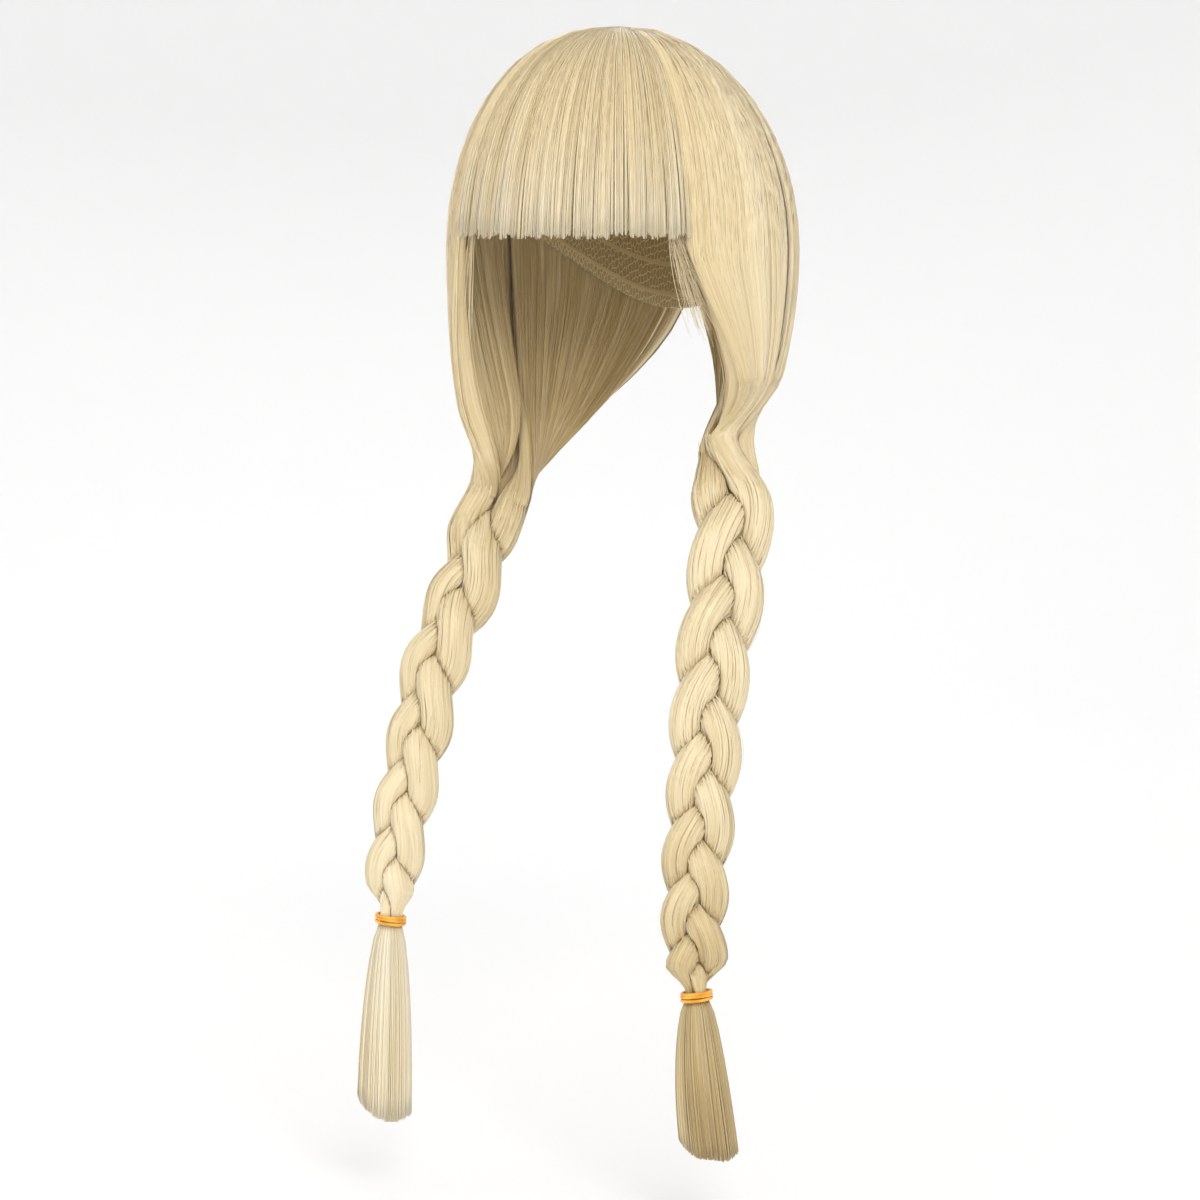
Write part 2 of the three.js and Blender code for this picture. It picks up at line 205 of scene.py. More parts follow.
OUTSIDE = Dome(
    half_width=HAIR_HALF_WIDTH,
    front=97,
    back=124,
    top=HAIR_RISE,
    height=HAIR_HEIGHT,
    gather_front=70,
    gather_back=66,
    ease=2.1,
    fullness=0.82,
)
INSIDE = Dome(
    half_width=HEAD_HALF_WIDTH + CAP_SKIN,
    front=HEAD_FRONT + CAP_SKIN,
    back=HEAD_BACK + CAP_SKIN,
    top=CAP_SKIN,
    height=HEAD_HEIGHT + CAP_SKIN,
    gather_front=GATHER_INSIDE,
    gather_back=GATHER_INSIDE,
    ease=1.4,
    fullness=1,
    gather_side=GATHER_INSIDE,
)


def hair_radius(station: Array, least: float) -> Array:
    """How far the hair is from the whorl's axis at a station, and never under least."""
    return np.maximum(HAIR_HALF_WIDTH * np.sin(np.minimum(station, 1) * math.pi / 2), least)


def in_hair(angle: Array, station: Array, share: Array, reach: float, drop: float) -> Array:
    """Points of the loose hair on the left side.

    Args:
        angle: Degrees from the nose.
        station: 0 at the top, 1 at the widest level, 2 at the gathering.
        share: 0 at the hair's outside and 1 at the cap.
        reach: How far out the gathering lies.
        drop: How far down the gathering lies.

    Returns:
        One point for each angle and station.
    """
    outer = OUTSIDE.point(angle, station, reach, drop)
    return lerp(outer, INSIDE.point(angle, station, reach, drop), share[..., None])


class Strand(Enum):
    """The three strands of a braid, named for the section of hair each comes from."""

    FRONT = "front"
    BACK = "back"
    NAPE = "nape"


# How far in front each strand lies at the very top, as a share of its swing.
ROOT_HEIGHTS = {Strand.FRONT: 1.4, Strand.BACK: -0.2, Strand.NAPE: -1.4}


@dataclass
class Side:
    """One side of the wig: the route of its braid and the sizes of the weave.

    Attributes:
        hand: 1 on the wearer's left, -1 on the right.
        route: Points down the braid's middle: outward, forward and down from the
            top of the head.
        root_width: The share of its width that the braid has at its very top.
        half_width: Of the braid, at its top and at its band.
        half_depth: Of the braid, at its top and at its band.
        pitch: The length of one full turn of the weave, at the top and at the band.
        gather_reach: The outside of the gathered hair, from the middle of the neck.
        facing: Degrees that the braid's face is turned outwards, at top and band.
        phases: Degrees by which each strand is ahead in the weave.
        tail_slant: How much lower the brush end is cut at its outer side.
        reach: The share of the half width that a strand's middle swings.
        swing: The share of the half depth that it swings.
        strand_half_width: Of one strand, as a share of the braid's half width.
        strand_half_depth: Of one strand, as a share of the braid's half depth.
        neck_radius: Of the braid inside its band.
        neck_taper: The length over which the braid narrows to its band.
        neck_length: Of the neck, above the band's middle.
        root_length: The length over which the braid grows to its full width.
        spots: Close points along the route.
        lengths: How far down the route each of them is.
    """

    name: str
    hand: int
    route: tuple[tuple[float, float, float], ...]
    braid_length: float
    tail_length: float
    root_width: float
    half_width: tuple[float, float]
    half_depth: tuple[float, float]
    pitch: tuple[float, float]
    gather_reach: float
    facing: tuple[float, float]
    phases: dict[Strand, float]
    tail_slant: float
    reach: float = 0.49
    swing: float = 0.3
    strand_half_width: float = 0.56
    strand_half_depth: float = 0.8
    neck_radius: float = 6.0
    neck_taper: float = 16.0
    neck_length: float = 3.1
    root_length: float = 34.0
    tail_half_width: float = 16.5
    tail_half_depth: float = 11.0
    spots: Array = field(init=False)
    lengths: Array = field(init=False)

    def __post_init__(self) -> None:
        """Works out close points along the route, once."""
        self.spots = self._smooth_route()
        steps = np.linalg.norm(np.diff(self.spots, axis=0), axis=1)
        self.lengths = np.concatenate([[0], np.cumsum(steps)])

    @property
    def gather_drop(self) -> float:
        """How far below the top of the head the gathering lies."""
        return self.route[0][2]

    def _smooth_route(self, steps: int = 80) -> Array:
        """Close points on a smooth curve through the route's points.

        Args:
            steps: How many points each stretch between two of the route's points has.

        Returns:
            The points, the route's last one included.
        """
        given = np.array([(out, -forward, -down) for out, forward, down in self.route])
        first, last = 2 * given[0] - given[1], 2 * given[-1] - given[-2]
        points = np.vstack([first, given, last])
        share = np.linspace(0, 1, steps, endpoint=False)[:, None]
        curve = []
        for p0, p1, p2, p3 in zip(points, points[1:], points[2:], points[3:]):
            ends = ((p0, p1), (p1, p2), (p2, p3))
            d0, d1, d2 = (math.sqrt(np.linalg.norm(b - a)) for a, b in ends)
            t1 = ((p1 - p0) / d0 - (p2 - p0) / (d0 + d1) + (p2 - p1) / d1) * d1
            t2 = ((p2 - p1) / d1 - (p3 - p1) / (d1 + d2) + (p3 - p2) / d2) * d1
            bend = -3 * p1 + 3 * p2 - 2 * t1 - t2
            curve.append(p1 + t1 * share + bend * share**2 + (2 * p1 - 2 * p2 + t1 + t2) * share**3)
        return np.vstack([*curve, given[-1:]])

    def frame_at(self, distance: Array) -> tuple[Array, Array, Array, Array]:
        """The middle of the braid at a distance from the gathering, and its axes.

        Args:
            distance: Distances down the braid, which may run past both its ends.

        Returns:
            The middle, the way down, the way across the braid's face, and the way
            out of its face.
        """
        held = np.clip(distance, 0, self.lengths[-1])
        pick = [np.interp(held, self.lengths, self.spots[:, k]) for k in range(3)]
        ahead = [np.interp(held + 2, self.lengths, self.spots[:, k]) for k in range(3)]
        behind = [np.interp(held - 2, self.lengths, self.spots[:, k]) for k in range(3)]
        down = unit(np.stack(ahead, -1) - np.stack(behind, -1))
        middle = np.stack(pick, -1) + down * (distance - held)[..., None]
        share = smooth_share(distance, 0, self.braid_length)
        facing = np.radians(lerp(self.facing[0], self.facing[1], share))
        level = np.stack([np.cos(facing), np.sin(facing), np.zeros_like(facing)], -1)
        face = unit(np.cross(down, level))
        return middle, down, np.cross(face, down), face

    def weave(self, distance: Array) -> Array:
        """How far the weave has turned, in degrees, at a distance down the braid."""
        grown = (self.pitch[1] - self.pitch[0]) / self.braid_length
        return 360 / grown * np.log(1 + grown * np.maximum(distance, 0) / self.pitch[0])

    def unweave(self, turned: Array) -> Array:
        """The distance down the braid at which the weave has turned so far."""
        grown = (self.pitch[1] - self.pitch[0]) / self.braid_length
        return self.pitch[0] / grown * np.expm1(turned * grown / 360)

    def braid_size(self, distance: Array) -> tuple[Array, Array]:
        """The half width and half depth of the braid.

        Args:
            distance: Distances down the braid.

        Returns:
            The half widths and the half depths there.
        """
        share = np.clip(distance / self.braid_length, 0, 1)
        closed = self.braid_length - self.neck_length
        closing = 1 - smooth_share(distance, closed - self.neck_taper, closed)
        root = lerp(self.root_width, 1, smooth_share(distance, 0, self.root_length))
        width, depth = root * lerp(*self.half_width, share), root * lerp(*self.half_depth, share)
        return lerp(self.neck_radius, width, closing), lerp(self.neck_radius, depth, closing)

    def strand_middle(self, strand: Strand, distance: Array) -> tuple[Array, Array]:
        """The middle of a strand in the braid's own cross-section.

        Args:
            strand: Which of the three.
            distance: Distances down the braid.

        Returns:
            How far across the braid's face the middle lies, and how far out of it.
        """
        half_width, half_depth = self.braid_size(distance)
        turn = np.radians(self.phases[strand] + self.weave(distance))
        woven = smooth_share(distance, 0, self.root_length)
        height = lerp(ROOT_HEIGHTS[strand], np.sin(2 * turn), woven)
        return self.reach * half_width * np.sin(turn), self.swing * half_depth * height

    def on_strand(self, strand: Strand, distance: Array, angle: Array, gap: float) -> Array:
        """Points on a strand, which stops half way to each of its two neighbours.

        Args:
            strand: Which of the three.
            distance: Distances down the braid.
            angle: Radians round the strand, from the way across the face.
            gap: What is left open between two strands.

        Returns:
            One point for each distance and angle.
        """
        half_width, half_depth = self.braid_size(distance)
        wide = self.strand_half_width * half_width
        deep = self.strand_half_depth * half_depth
        x, y = self.strand_middle(strand, distance)
        reach = np.ones_like(x + angle)
        for other in Strand:
            if other is strand:
                continue
            other_x, other_y = self.strand_middle(other, distance)
            away_x, away_y = (other_x - x) / wide, (other_y - y) / deep
            apart = np.hypot(away_x, away_y)
            towards = (np.cos(angle) * away_x + np.sin(angle) * away_y) / apart
            room = apart / 2 - gap / 2 / deep
            limit = np.where(towards > 1e-6, room / np.maximum(towards, 1e-6), 1)
            reach = np.minimum(reach, limit)
        middle, _, across, face = self.frame_at(distance)
        out_x = x + wide * reach * np.cos(angle)
        out_y = y + deep * reach * np.sin(angle)
        return middle + across * out_x[..., None] + face * out_y[..., None]


SIDES = (
    Side(
        name="left",
        hand=1,
        route=(
            (63.5, -1, 224),
            (74, 14, 250),
            (80.5, 40, 291),
            (82, 66, 340),
            (84.5, 85, 396),
            (84.5, 97, 460),
            (88, 102, 513),
            (92.5, 104, 560),
            (98.5, 106, 603),
        ),
        braid_length=312,
        tail_length=89,
        root_width=0.74,
        half_width=(23, 16.5),
        half_depth=(15, 11),
        pitch=(164, 87),
        gather_reach=80,
        facing=(40, 12),
        phases={Strand.FRONT: 336, Strand.BACK: 96, Strand.NAPE: 216},
        tail_slant=4,
    ),
    Side(
        name="right",
        hand=-1,
        route=(
            (67, 27, 254.5),
            (74, 45, 298),
            (84, 66, 341),
            (89, 81, 386),
            (96, 95, 446),
            (97.5, 100, 486),
            (98.5, 104, 540),
            (100, 105.5, 600),
        ),
        braid_length=245.4,
        tail_length=113,
        root_width=0.85,
        half_width=(22, 14.5),
        half_depth=(14.5, 10.5),
        pitch=(135.5, 102),
        gather_reach=87,
        facing=(20, -5),
        phases={Strand.FRONT: 19, Strand.BACK: 139, Strand.NAPE: 259},
        tail_slant=-4,
    ),
)


# Finishes


def linear(hex_colour: str) -> tuple[float, float, float, float]:
    """Turns an sRGB colour to a linear one.

    Args:
        hex_colour: The colour, such as #F0E2B0.

    Returns:
        Red, green, blue and alpha.
    """
    values = [int(hex_colour[i : i + 2], 16) / 255 for i in (1, 3, 5)]
    red, green, blue = [
        v / 12.92 if v <= 0.04045 else ((v + 0.055) / 1.055) ** 2.4 for v in values
    ]
    return red, green, blue, 1.0


def add_node(
    tree: bpy.types.NodeTree,
    kind: str,
    values: dict | None = None,
    links: dict | None = None,
    **settings,
) -> bpy.types.Node:
    """Adds a node to a material.

    Args:
        tree: The material's node tree.
        kind: The node's type.
        values: What its unlinked inputs hold.
        links: The outputs that its other inputs take.
        **settings: The node's own properties.

    Returns:
        The new node.
    """
    node = tree.nodes.new(kind)
    for name, value in settings.items():
        setattr(node, name, value)
    for socket, value in (values or {}).items():
        node.inputs[socket].default_value = value
    for socket, source in (links or {}).items():
        tree.links.new(source, node.inputs[socket])
    return node


def empty_material(name: str) -> bpy.types.Material:
    """Makes a material whose node tree is empty.

    Args:
        name: What the material is called.

    Returns:
        The material.
    """
    material = bpy.data.materials.new(name)
    material.use_nodes = True
    material.node_tree.nodes.clear()
    return material


def set_ramp(node: bpy.types.Node, stops: tuple[tuple[float, str], ...]) -> None:
    """Gives a colour ramp its stops.

    Args:
        node: The ramp.
        stops: A place and an sRGB hex colour each.
    """
    elements = node.color_ramp.elements
    while len(elements) < len(stops):
        elements.new(0.5)
    for element, (place, colour) in zip(elements, stops):
        element.position = place
        element.color = linear(colour)


@dataclass(frozen=True)
class DrawnFibre:
    """Modacrylic wig fibre, melt-spun and drawn: a satin gloss that runs across the
    strands, pale edges against the light, and fine streaks from one fibre to the next.
    """

    name: str
    stops: tuple[tuple[float, str], ...]
    streak_width: float = 0.5  # real fibres are 0.08 mm; bundles of them show
    streak_length: float = 45.0
    streak_depth: float = 0.09  # how far a streak shifts the tone
    roughness: tuple[float, float] = (0.34, 0.5)
    ior: float = 1.49
    anisotropy: float = 0.65
    sheen: float = 0.3
    groove: float = 0.07

    def make(self) -> bpy.types.Material:
        """Builds the finish.

        Returns:
            The material.
        """
        material = empty_material(self.name)
        tree = material.node_tree
        uv = add_node(tree, "ShaderNodeUVMap", uv_map=FIBRE_UV)
        scale = (1 / (self.streak_width * MM), 1 / (self.streak_length * MM), 1)
        drawn = add_node(
            tree, "ShaderNodeMapping", {"Scale": scale}, {"Vector": uv.outputs["UV"]}
        )
        streak = add_node(
            tree,
            "ShaderNodeTexNoise",
            {"Scale": 1.0, "Detail": 2.0, "Roughness": 0.6},
            {"Vector": drawn.outputs["Vector"]},
            noise_dimensions="2D",
        )
        tone = add_node(tree, "ShaderNodeAttribute", attribute_name=TONE)
        shift = add_node(
            tree,
            "ShaderNodeMapRange",
            {
                "From Min": 0.3,
                "From Max": 0.7,
                "To Min": -self.streak_depth,
                "To Max": self.streak_depth,
            },
            {"Value": streak.outputs["Fac"]},
        )
        shade = add_node(
            tree,
            "ShaderNodeMath",
            links={0: tone.outputs["Fac"], 1: shift.outputs["Result"]},
            operation="ADD",
        )
        ramp = add_node(tree, "ShaderNodeValToRGB", links={"Fac": shade.outputs["Value"]})
        set_ramp(ramp, self.stops)
        gloss = add_node(
            tree,
            "ShaderNodeMapRange",
            {
                "From Min": 0.25,
                "From Max": 0.75,
                "To Min": self.roughness[0],
                "To Max": self.roughness[1],
            },
            {"Value": streak.outputs["Fac"]},
        )
        bump = add_node(
            tree,
            "ShaderNodeBump",
            {"Strength": 0.5, "Distance": self.groove * MM},
            {"Height": streak.outputs["Fac"]},
        )
        tangent = add_node(tree, "ShaderNodeTangent", direction_type="UV_MAP", uv_map=FIBRE_UV)
        shader = add_node(
            tree,
            "ShaderNodeBsdfPrincipled",
            {
                "IOR": self.ior,
                "Anisotropic": self.anisotropy,
                "Sheen Weight": self.sheen,
                "Sheen Roughness": 0.45,
                "Sheen Tint": linear("#FFF4DC"),
            },
            {
                "Base Color": ramp.outputs["Color"],
                "Roughness": gloss.outputs["Result"],
                "Normal": bump.outputs["Normal"],
                "Tangent": tangent.outputs["Tangent"],
            },
        )
        add_node(tree, "ShaderNodeOutputMaterial", links={"Surface": shader.outputs["BSDF"]})
        return material


# Pale blonde, from its deepest shade to its lightest.
BLONDE = (
    (0.0, "#8B7042"),
    (0.25, "#BCA26F"),
    (0.5, "#DDC99D"),
    (0.75, "#EFDFBA"),
    (1.0, "#FAF1DA"),
)


@dataclass(frozen=True)
class WarpKnitNet:
    """Nylon stretch net, warp knitted in small hexagons: thin pale threads over the roots behind
    them, with the holes painted deeper as painted shade, and a soft dry surface.
    """

    name: str = "warp_knit_nylon_net"
    mesh_width: float = 3.2  # the real holes are 1.5 mm; these show in the render
    weft_pitch: float = 11.0  # from one sewn row of hair to the next
    weft_width: float = 1.2
    thread: str = "#DCC89B"
    # painted shade: the deeper tone of the holes between the threads
    hole: str = "#AE9664"
    weft: str = "#CDB585"

    def make(self) -> bpy.types.Material:
        """Builds the finish.

        Returns:
            The material.
        """
        material = empty_material(self.name)
        tree = material.node_tree
        uv = add_node(tree, "ShaderNodeUVMap", uv_map=FIBRE_UV)
        scale = 1 / (self.mesh_width * MM)
        cells = add_node(
            tree,
            "ShaderNodeTexVoronoi",
            {"Scale": scale, "Randomness": 0.6},
            {"Vector": uv.outputs["UV"]},
            voronoi_dimensions="2D",
            feature="DISTANCE_TO_EDGE",
        )
        thread = add_node(
            tree,
            "ShaderNodeMapRange",
            {"From Min": 0.04, "From Max": 0.14, "To Min": 1.0, "To Max": 0.0},
            {"Value": cells.outputs["Distance"]},
            interpolation_type="SMOOTHSTEP",
        )
        # Painted shade: the holes between the threads are deeper than the threads.
        netted = add_node(
            tree,
            "ShaderNodeMix",
            {"A": linear(self.hole), "B": linear(self.thread)},
            {"Factor": thread.outputs["Result"]},
            data_type="RGBA",
        )
        out = add_node(
            tree, "ShaderNodeVectorMath", links={0: uv.outputs["UV"]}, operation="LENGTH"
        )
        row = add_node(
            tree,
            "ShaderNodeMath",
            {1: self.weft_pitch * MM / 2},
            {0: out.outputs["Value"]},
            operation="PINGPONG",
        )
        sewn = add_node(
            tree,
            "ShaderNodeMapRange",
            {
                "From Min": self.weft_width / 2 * MM,
                "From Max": self.weft_width * MM,
                "To Min": 1.0,
                "To Max": 0.0,
            },
            {"Value": row.outputs["Value"]},
            interpolation_type="SMOOTHSTEP",
        )
        colour = add_node(
            tree,
            "ShaderNodeMix",
            {"B": linear(self.weft)},
            {"Factor": sewn.outputs["Result"], "A": netted.outputs["Result"]},
            data_type="RGBA",
        )
        height = add_node(
            tree,
            "ShaderNodeMath",
            links={0: thread.outputs["Result"], 1: sewn.outputs["Result"]},
            operation="MAXIMUM",
        )
        bump = add_node(
            tree,
            "ShaderNodeBump",
            {"Strength": 0.8, "Distance": 0.3 * MM},
            {"Height": height.outputs["Value"]},
        )
        shader = add_node(
            tree,
            "ShaderNodeBsdfPrincipled",
            {"Roughness": 0.75, "IOR": 1.53, "Sheen Weight": 0.2},
            {"Base Color": colour.outputs["Result"], "Normal": bump.outputs["Normal"]},
        )
        add_node(tree, "ShaderNodeOutputMaterial", links={"Surface": shader.outputs["BSDF"]})
        return material


@dataclass(frozen=True)
class CoveredElastic:
    """Round elastic in a knitted polyester cover: saturated orange yellow, satin, with small
    slanting ribs round the cord, whose grooves are painted deeper as painted shade.
    """

    name: str = "knit_covered_elastic"
    light: str = "#F9B93C"
    # painted shade: the deeper orange of the grooves between the ribs
    deep: str = "#E39A1C"
    rib: float = 0.9  # length of cord that one rib takes

    def make(self) -> bpy.types.Material:
        """Builds the finish.

        Returns:
            The material.
        """
        material = empty_material(self.name)
        tree = material.node_tree
        uv = add_node(tree, "ShaderNodeUVMap", uv_map=FIBRE_UV)
        ribs = add_node(
            tree,
            "ShaderNodeTexWave",
            {"Scale": 1 / (20 * self.rib * MM), "Distortion": 0.4, "Detail": 1.0},
            {"Vector": uv.outputs["UV"]},
            bands_direction="DIAGONAL",
        )
        # Painted shade: the colour deepens where the ribs' bump is lowest.
        colour = add_node(
            tree,
            "ShaderNodeMix",
            {"A": linear(self.deep), "B": linear(self.light)},
            {"Factor": ribs.outputs["Fac"]},
            data_type="RGBA",
        )
        bump = add_node(
            tree,
            "ShaderNodeBump",
            {"Strength": 0.6, "Distance": 0.15 * MM},
            {"Height": ribs.outputs["Fac"]},
        )
        shader = add_node(
            tree,
            "ShaderNodeBsdfPrincipled",
            {"Roughness": 0.42, "IOR": 1.5, "Sheen Weight": 0.15},
            {"Base Color": colour.outputs["Result"], "Normal": bump.outputs["Normal"]},
        )
        add_node(tree, "ShaderNodeOutputMaterial", links={"Surface": shader.outputs["BSDF"]})
        return material


@dataclass(frozen=True)
class MattPaper:
    """Seamless background paper: one pale matt tone that shows no edge or grain."""

    name: str = "matt_background_paper"
    colour: str = "#F3F3F3"

    def make(self) -> bpy.types.Material:
        """Builds the finish.

        Returns:
            The material.
        """
        material = bpy.data.materials.new(self.name)
        material.use_nodes = True
        shader = material.node_tree.nodes["Principled BSDF"]
        shader.inputs["Base Color"].default_value = linear(self.colour)
        shader.inputs["Roughness"].default_value = 0.95
        return material


# Fibres and bodies of hair


RIDGE_ABOVE = 0.4  # the part of a strand's ridge that stands over its middle line
UV_OFFSET = (0.00731, 0.4)  # metres from one strand to the next, and where they start over
UV_SHIFT = (0.0191, 0.5)  # the same, along the strands


@dataclass
class Fibres:
    """Many strands of one kind, held as arrays with a row for each strand.

    Attributes:
        centre: Points down each strand.
        across: The way across the strand at each point.
        out: The way out of the hair at each point.
        width: How wide the strand is at each point.
        rise: How far its ridge stands over its edges.
        tone: How light it is, from 0 to 1.
        closed: True for a strand that hangs free and has an underside.
    """

    centre: Array
    across: Array
    out: Array
    width: Array
    rise: Array
    tone: Array
    closed: bool = False

    def corners(self) -> Array:
        """The two edges and the ridge of each strand.

        Returns:
            Three points, in metres, for each point down each strand.
        """
        half = self.across * (self.width / 2)[..., None]
        sunk = self.out * (self.rise * (1 - RIDGE_ABOVE))[..., None]
        ridge = self.centre + self.out * (self.rise * RIDGE_ABOVE)[..., None]
        return np.stack([self.centre - half - sunk, ridge, self.centre + half - sunk], 2) * MM


def join_fibres(name: str, batches: list[Fibres]) -> bpy.types.Object:
    """Joins batches of strands into one mesh.

    Args:
        name: The piece's name.
        batches: The strands, of which the closed ones get an underside and two ends.

    Returns:
        The new object, with a UV map in metres across and along each strand.
    """
    spots, faces4, uv4, faces3, uv3, tones = [], [], [], [], [], []
    first = 0
    for batch in batches:
        rows, points = batch.tone.shape
        corners = batch.corners()
        spots.append(corners.reshape(-1, 3))
        tones.append(np.repeat(batch.tone.reshape(-1), 3))
        index = first + np.arange(rows * points * 3).reshape(rows, points, 3)
        first += rows * points * 3
        steps = np.linalg.norm(np.diff(batch.centre, axis=1), axis=2)
        along = np.concatenate([np.zeros((rows, 1)), np.cumsum(steps, 1)], 1) * MM
        offset = (np.arange(rows) * UV_OFFSET[0] % UV_OFFSET[1])[:, None]
        v = along + (np.arange(rows) * UV_SHIFT[0] % UV_SHIFT[1])[:, None]
        v_quad = np.stack([v[:, :-1], v[:, :-1], v[:, 1:], v[:, 1:]], -1)
        width = batch.width * MM
        columns = [(0, 1, 0.0, 0.5), (1, 2, 0.5, 1.0)]
        if batch.closed:
            columns.append((2, 0, 1.0, 2.0))
        for a, b, u_a, u_b in columns:
            quad = [index[:, :-1, a], index[:, :-1, b], index[:, 1:, b], index[:, 1:, a]]
            faces4.append(np.stack(quad, -1).reshape(-1, 4))
            u = [offset + width[:, :-1] * u_a, offset + width[:, :-1] * u_b]
            u += [offset + width[:, 1:] * u_b, offset + width[:, 1:] * u_a]
            uv4.append(np.stack([np.stack(u, -1), v_quad], -1).reshape(-1, 2))
        if batch.closed:
            for end, order in ((0, (0, 2, 1)), (-1, (0, 1, 2))):
                faces3.append(index[:, end][:, list(order)])
                u = offset + width[:, end, None] * (np.array(order) / 2)
                uv3.append(np.stack([u, np.repeat(v[:, end, None], 3, 1)], -1).reshape(-1, 2))
    return mesh_from_arrays(name, spots, faces4, uv4, faces3, uv3, tones)


def mesh_from_arrays(
    name: str,
    spots: list[Array],
    faces4: list[Array],
    uv4: list[Array],
    faces3: list[Array],
    uv3: list[Array],
    tones: list[Array],
) -> bpy.types.Object:
    """Makes one object from the arrays of many strands.

    Args:
        name: The piece's name.
        spots: Points in metres.
        faces4: The points of each four-sided face.
        uv4: The place of each of their corners in the UV map.
        faces3: The points of each three-sided face, or none.
        uv3: The place of each of their corners in the UV map.
        tones: How light each point is.

    Returns:
        The new object.
    """
    spots = np.concatenate(spots)
    quads = np.concatenate(faces4)
    tris = np.concatenate(faces3) if faces3 else np.zeros((0, 3), int)
    mesh = bpy.data.meshes.new(name)
    mesh.vertices.add(len(spots))
    mesh.vertices.foreach_set("co", spots.astype(np.float32).ravel())
    loops = np.concatenate([quads.ravel(), tris.ravel()])
    mesh.loops.add(len(loops))
    mesh.loops.foreach_set("vertex_index", loops.astype(np.int32))
    quad_starts = np.arange(len(quads)) * 4
    starts = np.concatenate([quad_starts, len(quads) * 4 + np.arange(len(tris)) * 3])
    mesh.polygons.add(len(starts))
    mesh.polygons.foreach_set("loop_start", starts.astype(np.int32))
    mesh.polygons.foreach_set("use_smooth", np.ones(len(starts), bool))
    mesh.update(calc_edges=True)
    layer = mesh.uv_layers.new(name=FIBRE_UV)
    uv = np.concatenate(uv4 + uv3)
    layer.data.foreach_set("uv", uv.astype(np.float32).ravel())
    held = mesh.attributes.new(TONE, "FLOAT", "POINT")
    held.data.foreach_set("value", np.concatenate(tones).astype(np.float32))
    return add_object(name, mesh)


def add_object(name: str, mesh: bpy.types.Mesh) -> bpy.types.Object:
    """Puts a mesh in the scene as an object that rides on the wig.

    Args:
        name: The object's name.
        mesh: Its mesh, in metres.

    Returns:
        The new object.
    """
    made = bpy.data.objects.new(name, mesh)
    bpy.context.scene.collection.objects.link(made)
    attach(made, "root")
    return made


def close_body(name: str, body: bmesh.types.BMesh) -> bpy.types.Mesh:
    """Ends work on a body.

    Args:
        name: What its mesh is called.
        body: The body, which is freed.

    Returns:
        Its mesh.
    """
    mesh = bpy.data.meshes.new(name)
    body.to_mesh(mesh)
    body.free()
    return mesh


def past_seam(turns: list[float], full: float, middle: float) -> list[float]:
    """Turns at a face's corners, without the jump where a body's seam lies.

    Args:
        turns: The turn of each corner.
        full: What a whole turn is.
        middle: The turn half way round from the seam.

    Returns:
        The same turns, of which the low ones are a whole turn more on a face that
        lies across the seam.
    """
    wraps = max(turns) - min(turns) > full / 2
    return [turn + full if wraps and turn < middle else turn for turn in turns]


def form_body(
    name: str,
    place: Callable[[Array, Array], Array],
    around: int,
    along: int,
    tone: float,
    girth: float = 150.0,
) -> bpy.types.Object:
    """A closed body whose rows and columns lie where place puts them.

    Args:
        name: The piece's name.
        place: Gives points in millimetres for turns and shares down the body.
        around: How many columns.
        along: How many rows.
        tone: How light its finish is.
        girth: The distance round it that its UV map takes.

    Returns:
        The new object.
    """
    body = bmesh.new()
    bmesh.ops.create_uvsphere(body, u_segments=around, v_segments=along + 1, radius=1)
    body.verts.ensure_lookup_table()
    given = np.array([v.co for v in body.verts])
    row = np.rint(np.arccos(np.clip(given[:, 2], -1, 1)) / math.pi * (along + 1)).astype(int)
    turn = (-np.arctan2(given[:, 1], given[:, 0]) / FULL_TURN) % 1
    share = np.clip((row - 1) / (along - 1), 0, 1)
    spots = place(turn, share)
    for pole, ring in ((0, 1), (along + 1, along)):
        spots[row == pole] = spots[row == ring].mean(0)
    for vertex, spot in zip(body.verts, spots * MM):
        vertex.co = spot
    bmesh.ops.recalc_face_normals(body, faces=body.faces)
    middles = np.array([spots[row == r].mean(0) for r in range(along + 2)])
    down = np.concatenate([[0], np.cumsum(np.linalg.norm(np.diff(middles, axis=0), axis=1))])
    layer = body.loops.layers.uv.new(FIBRE_UV)
    held = body.verts.layers.float.new(TONE)
    for vertex in body.verts:
        vertex[held] = tone
    for face in body.faces:
        face.smooth = True
        turns = past_seam([turn[loop.vert.index] for loop in face.loops], 1, 0.5)
        for loop, value in zip(face.loops, turns):
            loop[layer].uv = (value * girth * MM, down[row[loop.vert.index]] * MM)
    return add_object(name, close_body(name, body))


STRAY_POINTS = 10


